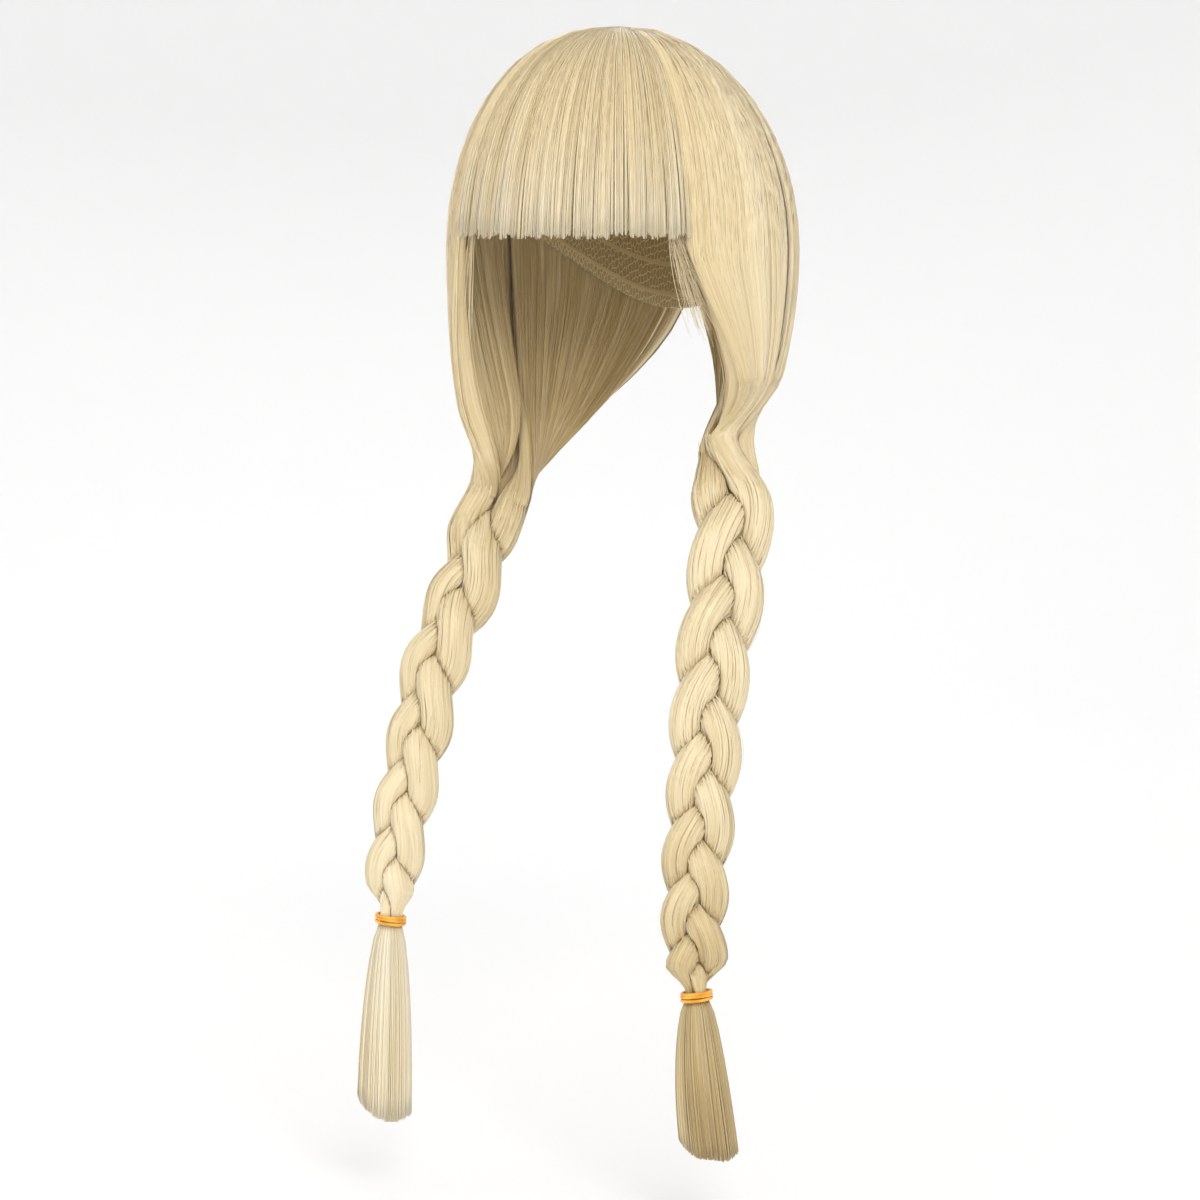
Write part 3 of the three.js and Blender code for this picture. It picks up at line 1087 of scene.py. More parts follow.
@dataclass
class Tress:
    """A body of hair with a core and a coat of strands, on one of the part's nodes.

    Attributes:
        node: The node of the part that the tress stands for.
        hand: 1 for the wearer's left, -1 for the right.
        seed: Where its random numbers start.
        count: How many strands its coat has.
        points: How many points each strand has.
        width: The narrowest and widest strand.
        tone: Its middle tone.
        tone_spread: How far streaks shift the tone.
        core_inset: How far inside the coat the core lies.
        core_taper: The part of the way at each end where the core draws in.
        core_gap_shade: How light the core is, which shows between strands; it is mostly deeper than
            the strands, as painted shade in the gaps.
        core_size: How many columns and rows the core has.
    """

    node: str
    hand: int
    seed: int
    count: int
    points: int
    width: tuple[float, float] = (0.45, 1.0)
    tone: float = 0.6
    tone_spread: float = 0.06
    core_inset: float = 0.5
    core_taper: float = 0.02
    # painted shade: the core's tone, mostly deeper than the coat's, shows in the gaps between
    # strands
    core_gap_shade: float = 0.48
    core_size: tuple[int, int] = (40, 64)

    def surface(self, turn: Array, along: Array) -> Array:
        """Points of the tress's outside, as it would lie on the wearer's left."""
        raise NotImplementedError

    def placed(self, turn: Array, along: Array) -> Array:
        """Points of the tress's outside, on its own side of the head."""
        return self.surface(turn, along) * (self.hand, 1, 1)

    def strands(
        self,
        turn: Array,
        along: Array,
        proud: Array,
        width: Array,
        tone: Array,
        closed: bool = False,
        rise: float = 0.15,
    ) -> Fibres:
        """Strands that lie on the tress.

        Args:
            turn: Where round the tress each point of each strand lies.
            along: How far down it.
            proud: How far out of it.
            width: How wide the strand is, where the tress is at its widest.
            tone: How light the strand is.
            closed: True for strands that hang free.
            rise: The height of the ridge, as a share of the width.

        Returns:
            The strands.
        """
        here = self.placed(turn, along)
        sideways = self.placed(turn + 0.002, along) - self.placed(turn - 0.002, along)
        down = np.gradient(here, axis=1)
        out = unit(np.cross(sideways, down)) * self.hand
        across = unit(np.cross(down, out))
        centre = here + out * proud[..., None]
        return Fibres(centre, across, out, width, width * rise, np.clip(tone, 0, 1), closed)

    def strays(
        self,
        rng: np.random.Generator,
        count: int,
        turns: tuple[float, float],
        lengths: tuple[float, float],
        lift: float = 1.8,
    ) -> Fibres:
        """Single strands that stand a little off the tress and cross those under them.

        Args:
            rng: Where their places come from.
            count: How many.
            turns: The part of the way round that they are on.
            lengths: The least and most that one takes of the way down.
            lift: How far off the tress the highest one stands.

        Returns:
            The strands.
        """
        steps = np.linspace(0, 1, STRAY_POINTS)
        length = rng.uniform(*lengths, (count, 1))
        along = rng.uniform(0.02, 0.98 - lengths[1], (count, 1)) + length * steps
        turn = rng.uniform(*turns, (count, 1)) + rng.normal(0, 0.03, (count, 1)) * (steps - 0.5)
        bow = np.sin(math.pi * steps * rng.uniform(0.6, 1, (count, 1)))
        proud = 0.25 + rng.uniform(0.25, 1, (count, 1)) ** 2 * lift * bow
        width = rng.uniform(0.24, 0.4, (count, 1)) * lerp(1, 0.6, steps)
        tone = np.broadcast_to(self.tone + rng.uniform(0.05, 0.25, (count, 1)), along.shape)
        return self.strands(turn, along, proud, width, tone, closed=True, rise=0.7)

    def core_place(self, turn: Array, share: Array) -> Array:
        """Points of the core, which lies a little inside the coat.

        Args:
            turn: Turns round the tress.
            share: Shares of the way down it.

        Returns:
            The points, on the tress's own side of the head.
        """
        here = self.placed(turn, share)
        sideways = self.placed(turn + 0.004, share) - self.placed(turn - 0.004, share)
        down = self.placed(turn, share + 0.003) - self.placed(turn, share - 0.003)
        out = unit(np.cross(sideways, down)) * self.hand
        ends = smooth_share(np.abs(2 * share - 1), 1 - 2 * self.core_taper, 1)
        return here - out * lerp(self.core_inset, 3 * self.core_inset, ends)[..., None]

    def build(self, finish: bpy.types.Material) -> list[bpy.types.Object]:
        """Makes the core and the coat, dresses them and puts them in the node's place.

        Args:
            finish: The fibre's material.

        Returns:
            The core and the coat.
        """
        around, along = self.core_size
        core = form_body(f"{self.node}_core", self.core_place, around, along, self.core_gap_shade)
        coat = join_fibres(f"{self.node}_strands", self.coat(np.random.default_rng(self.seed)))
        for piece in (core, coat):
            piece.data.materials.append(finish)
        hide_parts(self.node)
        count = sum(len(p.vertices) - 2 for p in coat.data.polygons)
        log.info("%s: %d strand triangles", self.node, count)
        return [core, coat]

    def coat(self, rng: np.random.Generator) -> list[Fibres]:
        """The strands that cover the core."""
        raise NotImplementedError


def outline_point(turn: Array, corner: float = 7.0) -> tuple[Array, Array]:
    """The outline of a slab with soft corners.

    Args:
        turn: Turns round it.
        corner: How sharp its corners are, where 2 would be an oval.

    Returns:
        How far across it each point is, from 1 to -1 and back, and its lift, which is
        1 on the outside and -1 on the inside.
    """
    across = np.cos(FULL_TURN * turn)
    lift = np.sign(np.sin(FULL_TURN * turn)) * (1 - np.abs(across) ** corner) ** (1 / corner)
    return across, lift


def outline_turn(across: Array, outside: Array) -> Array:
    """The turn at which outline_point has an across, on its outer or inner face."""
    turn = np.arccos(np.clip(across, -1, 1)) / FULL_TURN
    return np.where(outside, turn, 1 - turn)


def folded(value: Array) -> Array:
    """Values past -1 or 1 turned back inside, so that strands don't pile up there."""
    return np.abs((value - 1) % 4 - 2) - 1


@dataclass
class LooseSection(Tress):
    """A section of loose hair, from the whorl down to where its braid strand begins.

    Attributes:
        side: The side of the wig that it is on.
        strand: The strand of the braid that it becomes.
        angles: Degrees from the nose between which it lies.
        sweep: Degrees that its forward edge draws back by the gathering.
        start: The station at which it begins.
        shares: Where it lies between the hair's outside and the cap.
        edge: How thick it is at its forward edge, as a share.
        locks: How many locks its outside has.
        outside_share: The part of its strands that lie on its outside.
        valley: How deep the valleys between its locks are.
        blend_start: The station from which it takes on the strand's shape.
        blend_length: How far up past the gathering the strand's shape reaches.
        beyond: What one more unit of along is, down the strand.
        carry: How far its strands run on down the braid, at least and at most.
        whorl_share: The part of its strands that begin at its very top.
        latest_start: How far down it the last of the others begins.
        stray_count: How many strands stand off it.
        wisp_count: How many fine short hairs hang from the fringe's corner.
        bridge_count: How many strands lie over its joins.
        front_painted_shade: How much deeper the tone is painted at its front edge, as painted shade
            beside the face.
    """

    side: Side = field(kw_only=True)
    strand: Strand = Strand.FRONT
    angles: tuple[float, float] = (46, 98)
    sweep: float = 0.0
    start: float = 0.0
    shares: tuple[float, float] = (0.0, 1.0)
    edge: float = 1.0
    locks: int = 3
    outside_share: float = 0.8
    valley: float = 0.12
    blend_start: float = 1.62
    blend_length: float = 26.0
    beyond: float = 300.0
    carry: tuple[float, float] = (4.0, 38.0)
    whorl_share: float = 0.45
    latest_start: float = 0.5
    stray_count: int = 10
    wisp_count: int = 0
    bridge_count: int = 0
    # painted shade at the section's front edge, beside the face
    front_painted_shade: float = 0.0

    def loose(self, angle: Array, station: Array, share: Array) -> Array:
        """Points in this side's loose hair, before they are mirrored."""
        return in_hair(angle, station, share, self.side.gather_reach, self.side.gather_drop)

    def surface(self, turn: Array, along: Array) -> Array:
        """Points of the section, and past its end of the strand that it becomes.

        Args:
            turn: Turns round the section.
            along: 0 at its top and 1 at the gathering.

        Returns:
            The points, before they are mirrored.
        """
        across, lift = outline_point(turn)
        relief = 1 - self.valley * (0.5 + 0.5 * np.cos(FULL_TURN * self.locks * (across + 1) / 2))
        lift = np.where(lift > 0, lift * relief, lift)
        first = max(self.start, WHORL_RADIUS / HAIR_HALF_WIDTH)
        station = lerp(first, 2, np.minimum(along, 1))
        low = self.angles[0] + self.sweep * np.maximum(station - 1, 0)
        high = self.angles[1]
        half = (high - low) / 2 - np.degrees(0.1 / hair_radius(station, 1))
        angle = (low + high) / 2 + across * half
        thinning = lerp(self.edge, 1, (1 + across) / 2)
        half_share = (self.shares[1] - self.shares[0]) / 2 * thinning
        loose = self.loose(angle, station, self.shares[0] + half_share * (1 - lift))
        above = (station - self.blend_start) / (2 - self.blend_start)
        behind = -lerp(self.blend_length, 0, above)
        distance = np.where(along > 1, (along - 1) * self.beyond, behind)
        towards = np.arctan2(lift, across)
        bound = self.side.on_strand(self.strand, distance, towards, 1.0)
        return lerp(loose, bound, smooth_share(station, self.blend_start, 2)[..., None])

    def coat(self, rng: np.random.Generator) -> list[Fibres]:
        """Strands over the outside, the edges and the inside of the section.

        Args:
            rng: Where their places come from.

        Returns:
            The strands, the strays, and then any wisps and bridges.
        """
        count = self.count
        outside = spread_evenly(rng, count) < self.outside_share
        place = spread_evenly(rng, count) * 2 - 1
        head = WHORL_START if self.start == 0 else 0
        at_head = rng.random(count) < self.whorl_share
        first = np.where(at_head, head, rng.random(count) ** 1.4 * self.latest_start)
        last = 1 + rng.uniform(*self.carry, count) / self.beyond
        steps = 1 - (1 - np.linspace(0, 1, self.points)) ** 1.35
        along = lerp(first[:, None], last[:, None], steps)
        sway = Ripple.seeded(rng, 5, 3.0, 1.6)
        clump = Ripple.seeded(rng, 6, 9.0, 0.8)
        across = place[:, None] + 0.03 * sway.at(place[:, None], along)
        across += 0.012 * clump.at(place[:, None], along)
        across += 0.02 * rng.normal(size=(count, 1)) * np.sin(math.pi * steps)
        turn = outline_turn(folded(across), outside[:, None])
        depth = rng.uniform(-0.1, 0.3, count)[:, None]
        depth = depth + 0.25 * clump.at(place[:, None] * 1.3, along)
        starts = (first > 0)[:, None]  # these rise out of the hair under them
        depth = depth - 1.2 * starts * (1 - smooth_share(steps, 0, 0.1))
        depth = depth - 1.3 * smooth_share(steps, 0.955, 1)
        size = rng.uniform(*self.width, count)[:, None]
        fan = np.sin(np.minimum(along * 2, 1) * math.pi / 2)
        tight = lerp(1, 0.6, smooth_share(along, 0.6, 1))
        width = size * np.maximum(fan, 0.3) * tight
        streak = Ripple.seeded(rng, 7, 6.0, 0.4)
        tone = self.tone + self.tone_spread * streak.at(place[:, None], along)
        # Strands on the section's inside are painted 0.12 deeper, as painted shade under the outer
        # strands.
        tone = tone + rng.normal(0, 0.04, count)[:, None] - 0.12 * (~outside)[:, None]
        # Painted shade: the tone deepens towards the section's front edge, beside the face.
        tone = tone - self.front_painted_shade * (1 - smooth_share(place, -1, 0.2))[:, None]
        coat = [self.strands(turn, along, depth, width, tone)]
        coat.append(self.strays(rng, self.stray_count, (0.03, 0.47), (0.25, 0.6), 0.8))
        if self.wisp_count:
            coat.append(self.wisps(rng))
        if self.bridge_count:
            coat.append(self.bridges(rng))
        return coat

    def bridges(self, rng: np.random.Generator) -> Fibres:
        """Strands over the joins with the fringe and the back, so that no join shows.

        Args:
            rng: Where their places come from.

        Returns:
            The strands, on their own side of the head.
        """
        count = self.bridge_count
        at_fringe = rng.random((count, 1)) < 0.34
        steps = np.linspace(0, 1, 16)
        lowest = np.where(at_fringe, 0.9, 1.7)
        first = rng.random((count, 1)) ** 1.5 * 0.55 * lowest + 0.012
        last = lerp(0.7, 1.0, rng.random((count, 1))) * lowest
        station = lerp(first, last, steps)
        radius = hair_radius(station, 3)
        spread = rng.normal(0, 1.5, (count, 1)) + rng.normal(0, 1.6, (count, 1)) * (steps - 0.5)
        edge = np.where(at_fringe, self.angles[0], self.angles[1])
        angle = edge + np.degrees(spread / radius)
        sunk = (1 - smooth_share(steps, 0, 0.12)) + smooth_share(steps, 0.88, 1)
        share = rng.uniform(0.0, 0.045, (count, 1)) + 0.1 * sunk
        mirror = (self.hand, 1, 1)
        here = self.loose(angle, station, share) * mirror
        outside = np.zeros_like(share)
        beside = self.loose(angle + 1, station, outside) - self.loose(angle, station, outside)
        down = np.gradient(here, axis=1)
        out = unit(np.cross(down, beside * mirror)) * self.hand
        out = out * np.sign((out * here).sum(-1, keepdims=True))
        across = unit(np.cross(down, out))
        width = rng.uniform(*self.width, (count, 1)) * np.clip(radius / 40, 0.35, 1)
        # Strands over the join with the fringe take the front edge's painted shade.
        tone = self.tone - self.front_painted_shade * at_fringe + rng.normal(0, 0.05, (count, 1))
        tone = np.clip(np.broadcast_to(tone, station.shape), 0, 1)
        return Fibres(here, across, out, width, width * 0.15, tone)

    def wisps(self, rng: np.random.Generator) -> Fibres:
        """Fine short hair that hangs from the fringe's corner, before the swept edge.

        Args:
            rng: Where its places come from.

        Returns:
            The strands, on their own side of the head.
        """
        count = self.wisp_count
        steps = np.linspace(0, 1, 12)
        station = lerp(0.86, rng.uniform(1.1, 1.46, (count, 1)), steps)
        start = rng.uniform(-5, 4, (count, 1))
        angle = self.angles[0] + start + steps**1.5 * rng.uniform(2, 14, (count, 1))
        angle = angle + rng.uniform(-1.2, 1.2, (count, 1)) * np.sin(math.pi * steps)
        share = lerp(0.62, rng.uniform(0.05, 0.6, (count, 1)), steps)
        here = self.loose(angle, station, share) * (self.hand, 1, 1)
        out = unit(here * (1, 1, 0))
        across = unit(np.cross(np.gradient(here, axis=1), out))
        width = rng.uniform(0.28, 0.55, (count, 1)) * lerp(1, 0.45, steps)
        tone = self.tone + rng.normal(0.06, 0.07, (count, 1))
        tone = np.clip(np.broadcast_to(tone, station.shape), 0, 1)
        return Fibres(here, across, out, width, width * 0.7, tone, True)


@dataclass
class BraidStrand(Tress):
    """One of the three strands of a braid, from the gathering to the band.

    Attributes:
        side: The side of the wig that it is on.
        strand: Which of the three it is.
        gap: What is left open between two strands.
        starts: Where its fibres begin, down the braid, at first and at last.
        stray_count: How many fibres stand off it.
        root_tone: How light it is at its top.
        end_light_and_shade: How light it is at its band, where it takes on the brush end's painted
            light and shade.
    """

    side: Side = field(kw_only=True)
    strand: Strand = Strand.FRONT
    gap: float = 0.7
    starts: tuple[float, float] = (-8.0, 16.0)
    stray_count: int = 16
    root_tone: float = 0.6
    # painted light and shade near the band, from the brush end's tone
    end_light_and_shade: float = 0.6

    def surface(self, turn: Array, along: Array) -> Array:
        """Points of the strand's outside.

        Args:
            turn: Turns round the strand.
            along: 0 at the gathering and 1 at the band, in equal parts of the weave.

        Returns:
            The points, before they are mirrored.
        """
        end = self.side.weave(self.side.braid_length)
        distance = np.where(
            along < 0,
            along * self.side.braid_length,
            self.side.unweave(np.maximum(along, 0) * end),
        )
        return self.side.on_strand(self.strand, distance, FULL_TURN * turn, self.gap)

    def coat(self, rng: np.random.Generator) -> list[Fibres]:
        """Fibres that follow the strand from end to end.

        Args:
            rng: Where their places come from.

        Returns:
            The fibres and the strays.
        """
        count = self.count
        place = spread_evenly(rng, count)
        steps = np.linspace(0, 1, self.points)
        first = rng.uniform(*self.starts, count) / self.side.braid_length
        along = lerp(first[:, None], 1.0, steps)
        sway = Ripple.seeded(rng, 5, 3.0, 2.5)
        clump = Ripple.seeded(rng, 5, 9.0, 2.0)
        turn = place[:, None] + 0.012 * sway.at(place[:, None], along)
        turn = turn + 0.006 * clump.at(place[:, None], along)
        waves = rng.uniform(2, 5, (count, 1)) * along + rng.random((count, 1))
        turn = turn + 0.006 * np.sin(FULL_TURN * waves)
        calm = smooth_share(1 - along, 0, 0.12)  # 0 at the band, which holds them flat
        depth = rng.uniform(-0.1, 0.3, count)[:, None]
        depth = depth + 0.22 * clump.at(place[:, None] * 1.4, along)
        depth = lerp(0.1, depth, calm) - 1.1 * (1 - smooth_share(steps, 0, 0.04))
        size = rng.uniform(*self.width, count)[:, None]
        width = size * lerp(0.55, 1, calm)
        streak = Ripple.seeded(rng, 7, 5.0, 1.2)
        tone = lerp(self.root_tone, self.tone, smooth_share(along, 0, 0.2))
        tone = lerp(tone, self.end_light_and_shade, smooth_share(along, 0.45, 1))
        tone = tone + self.tone_spread * streak.at(place[:, None], along)
        tone = tone + rng.normal(0, 0.04, count)[:, None]
        coat = self.strands(turn, along, depth, width, tone)
        return [coat, self.strays(rng, self.stray_count, (0.0, 1.0), (0.06, 0.14))]


@dataclass
class Fringe(Tress):
    """The fringe: a sheet from the whorl that parts into fine locks over the brow.

    Attributes:
        half_angle: Degrees that it reaches to each side of the nose.
        drop: From the top of the head down to the cut.
        depth: How much it takes of the room between the hair's outside and the cap.
        tip_depth: How thick its ends stay, as a share of its depth.
        split: The share of its length at which the locks part.
        clumps: How many locks it has.
        whorl_share: The part of its strands that begin at the whorl.
        latest_start: How far down it the last of the others begins.
        top_share: The part of its strands that lie on its outside.
        back_share: The part that lie on its inside, over the cap.
        tip_tone: How much lighter its ends are.
    """

    half_angle: float = 46.0
    drop: float = 104.0
    depth: float = 0.72
    tip_depth: float = 0.5
    split: float = 0.62
    clumps: int = 64
    whorl_share: float = 0.5
    latest_start: float = 0.45
    top_share: float = 0.62
    back_share: float = 0.1
    tip_tone: float = 0.3

    @property
    def end_station(self) -> float:
        """The station at which the fringe is cut."""
        lowest = (HAIR_RISE + self.drop) / HAIR_HEIGHT
        return math.acos(1 - lowest) / (math.pi / 2)

    def surface(self, turn: Array, along: Array) -> Array:
        """Points of the fringe, with along 1 at the cut."""
        across, lift = outline_point(turn)
        return self.inside(across, along, lift)

    def inside(self, across: Array, along: Array, lift: Array) -> Array:
        """Points in the fringe.

        Args:
            across: From -1 to 1 across it.
            along: 0 at the whorl and 1 at the cut.
            lift: 1 at its outside and -1 at its inside.

        Returns:
            The points.
        """
        station = lerp(WHORL_RADIUS / HAIR_HALF_WIDTH, self.end_station, along)
        angle = across * (self.half_angle - np.degrees(0.2 / hair_radius(station, 1)))
        half = self.depth / 2 * lerp(1, self.tip_depth, (station / self.end_station) ** 2)
        return in_hair(angle, station, half * (1 - lift), HAIR_HALF_WIDTH, HAIR_HEIGHT)

    def core_place(self, turn: Array, share: Array) -> Array:
        """Points of the core, which stops where the locks part."""
        return super().core_place(turn, share * (self.split + 0.02))

    def coat(self, rng: np.random.Generator) -> list[Fibres]:
        """The strands of the fringe, gathered into fine locks towards the cut.

        Args:
            rng: Where their places come from.

        Returns:
            The strands and the strays.
        """
        count = self.count
        place = spread_evenly(rng, count) * 2 - 1
        edges = np.cumsum(rng.uniform(0.5, 1.5, self.clumps + 1))
        edges = (edges - edges[0]) / (edges[-1] - edges[0]) * 2 - 1
        lock = np.clip(np.searchsorted(edges, place, side="right") - 1, 0, self.clumps - 1)
        middle = ((edges[:-1] + edges[1:]) / 2)[lock]
        pinch = (0.05 + 0.5 * rng.random(self.clumps) ** 2.5)[lock]
        lean = rng.normal(0, 0.006, self.clumps)[lock]
        at_head = rng.random(count) < self.whorl_share
        first = np.where(at_head, WHORL_START * 2, rng.random(count) * self.latest_start)
        short = np.abs(rng.normal(0, 0.012, count)) + rng.uniform(0, 0.014, self.clumps)[lock]
        last = 1.008 - short
        steps = np.linspace(0, 1, self.points)
        along = lerp(first[:, None], last[:, None], steps)
        parted = smooth_share(along, self.split - 0.12, 1.0)
        across = place[:, None] + (middle - place)[:, None] * pinch[:, None] * parted
        across = across + lean[:, None] * parted
        across = across + 0.004 * rng.normal(size=(count, 1)) * parted
        layer = rng.random(count)
        on_top = 0.92 + 0.08 * rng.random(count)
        lift = np.where(layer < self.top_share, on_top, rng.uniform(-0.9, 0.85, count))
        back = layer > 1 - self.back_share
        lift = np.where(back, -0.95, lift)
        round_edge = (1 - np.abs(np.clip(across, -1, 1)) ** 9) ** (1 / 9)
        lift = lift[:, None] * lerp(1, round_edge, 0.6)
        here = self.inside(folded(across), along, lift)
        beside = [self.inside(across + step, along, lift) for step in (-0.01, 0.01)]
        down = np.gradient(here, axis=1)
        out = unit(np.cross(down, beside[1] - beside[0]))
        out = out * np.sign((out * here).sum(-1, keepdims=True))
        out = np.where(back[:, None, None], -out, out)
        sunk = -1.0 * (first > 0)[:, None] * (1 - smooth_share(steps, 0, 0.15))
        here = here + out * (rng.uniform(-0.2, 0.5, count)[:, None] + sunk)[..., None]
        size = rng.uniform(*self.width, count)[:, None]
        fan = np.maximum(np.sin(np.minimum(along * 1.6, 1) * math.pi / 2), 0.3)
        width = size * fan * lerp(1, 0.5, smooth_share(along, 0.6, 1.0))
        streak = Ripple.seeded(rng, 7, 7.0, 0.3)
        tone = self.tone + self.tone_spread * streak.at(place[:, None], along)
        tone = tone + rng.normal(0, 0.045, count)[:, None]
        tone = np.clip(tone + self.tip_tone * smooth_share(along, self.split, 1), 0, 1)
        coat = Fibres(here, unit(np.cross(down, out)), out, width, width * 0.18, tone, True)
        return [coat, self.strays(rng, 22, (0.03, 0.47), (0.2, 0.5), 1.0)]


@dataclass
class BrushEnd(Tress):
    """The cut end of a braid below its band, which flares like a brush.

    Attributes:
        side: The side of the wig that it is on.
        hold: Its radius inside the band.
        locks: How many locks lie round it.
        flare: Under 1, it spreads soonest right below its band.
        clumps: How many fine clumps its strands draw into.
        skin_share: The part of its strands that lie at its outside.
        longest: The length of its longest strands, as a share of the tail's.
        corner_cut: How much shorter the strands at its two corners are.
        skin_cut: How much shorter the strands at its outside are.
        slope: How much shorter its strands are for each half width from the low corner.
        edge_highlight: How much lighter its two edges are, as a painted highlight.
        face_light_and_shade: How much lighter its faces are below the band and at the cut: a
            painted highlight below the band and painted shade at the cut.
    """

    side: Side = field(kw_only=True)
    hold: float = 5.64
    locks: int = 5
    flare: float = 0.65
    clumps: int = 26
    skin_share: float = 0.66
    longest: float = 1.035
    corner_cut: float = 0.06
    skin_cut: float = 0.015
    slope: float = 0.03
    # painted highlight at the brush's two edges
    edge_highlight: float = 0.08
    # painted highlight below the band, painted shade at the cut
    face_light_and_shade: tuple[float, float] = (0.06, -0.08)

    def reach_at(self, along: Array) -> tuple[Array, Array]:
        """How far the brush spreads.

        Args:
            along: 0 at the band and 1 at the cut.

        Returns:
            The half widths and the half depths there.
        """
        flare = np.sin(np.clip(along, 0, 1) ** self.flare * math.pi / 2)
        return (
            lerp(self.hold, self.side.tail_half_width, flare),
            lerp(self.hold, self.side.tail_half_depth, flare),
        )

    def inside(self, turn: Array, along: Array, share: Array) -> Array:
        """Points in the brush.

        Args:
            turn: Turns round it.
            along: 0 at the band and 1 at the cut.
            share: 0 in its middle and 1 at its outside.

        Returns:
            The points, before they are mirrored.
        """
        bearing = FULL_TURN * turn
        half_width, half_depth = self.reach_at(along)
        relief = 1 - 0.03 * (1 + np.cos(self.locks * bearing)) * np.clip(along * 3, 0, 1)
        slant = self.side.tail_slant / 2 * np.cos(bearing) * share * along
        distance = self.side.braid_length + 0.2 + along * self.side.tail_length + slant
        middle, _, wide, face = self.side.frame_at(distance)
        out_x = half_width * relief * share * np.cos(bearing)
        out_y = half_depth * relief * share * np.sin(bearing)
        return middle + wide * out_x[..., None] + face * out_y[..., None]

    def surface(self, turn: Array, along: Array) -> Array:
        """Points of the brush's outside."""
        return self.inside(turn, along, np.ones_like(turn + along))

    def core_place(self, turn: Array, share: Array) -> Array:
        """Points of the core, which stops short of the cut."""
        return self.inside(turn, share * 0.88, np.full_like(turn, 0.9)) * (self.hand, 1, 1)

    def coat(self, rng: np.random.Generator) -> list[Fibres]:
        """Strands at every depth of the brush, cut a little unevenly.

        Args:
            rng: Where their places come from.

        Returns:
            The strands.
        """
        count = self.count
        turn = spread_evenly(rng, count)
        on_skin = rng.random(count) < self.skin_share
        depth = np.sqrt(rng.random(count)) * 0.9
        share = np.where(on_skin, rng.uniform(0.93, 1.0, count), depth)
        lock = np.rint(turn * self.clumps).astype(int)
        pinch = (0.02 + 0.16 * rng.random(self.clumps + 1))[lock]
        steps = np.linspace(0, 1, self.points)
        uneven = rng.uniform(0, 0.01, self.clumps + 1)[lock]
        last = self.longest - np.abs(rng.normal(0, 0.008, count)) - uneven
        sideways = share * np.cos(FULL_TURN * turn)
        last = last - self.corner_cut * np.abs(sideways) ** 3 - self.skin_cut * share**3
        last = last - self.slope * (1 - np.sign(self.side.tail_slant) * sideways)
        along = lerp(0.0, last[:, None], steps)
        drawn = smooth_share(along, 0.3, 1)
        bearing = turn[:, None] + (lock / self.clumps - turn)[:, None] * pinch[:, None] * drawn
        share = np.broadcast_to(share[:, None], along.shape)
        mirror = (self.hand, 1, 1)
        here = self.inside(bearing, along, share) * mirror
        beside = [self.inside(bearing + step, along, share) * mirror for step in (-0.004, 0.004)]
        down = np.gradient(here, axis=1)
        out = unit(np.cross(beside[1] - beside[0], down)) * self.hand
        across = unit(np.cross(down, out))
        size = rng.uniform(*self.width, count)[:, None]
        width = size * lerp(0.6, 1.0, smooth_share(along, 0, 0.5))
        width = width * lerp(1, 0.6, smooth_share(along, 0.8, 1))
        streak = Ripple.seeded(rng, 7, 5.0, 0.4)
        tone = self.tone + self.tone_spread * streak.at(turn[:, None], along)
        tone = tone + rng.normal(0, 0.04, count)[:, None] + 0.06 * smooth_share(along, 0.8, 1)
        # Painted highlight: the two edges are lightened.
        edge = (np.cos(FULL_TURN * turn) ** 2)[:, None]
        # Painted light and shade: the faces are lightened below the band and deepened at the cut.
        face_tone = lerp(*self.face_light_and_shade, smooth_share(along, 0.2, 0.8))
        tone = tone + face_tone * (1 - edge) + self.edge_highlight * edge
        return [Fibres(here, across, out, width, width * 0.18, np.clip(tone, 0, 1), True)]


# The cap, the bands and the room


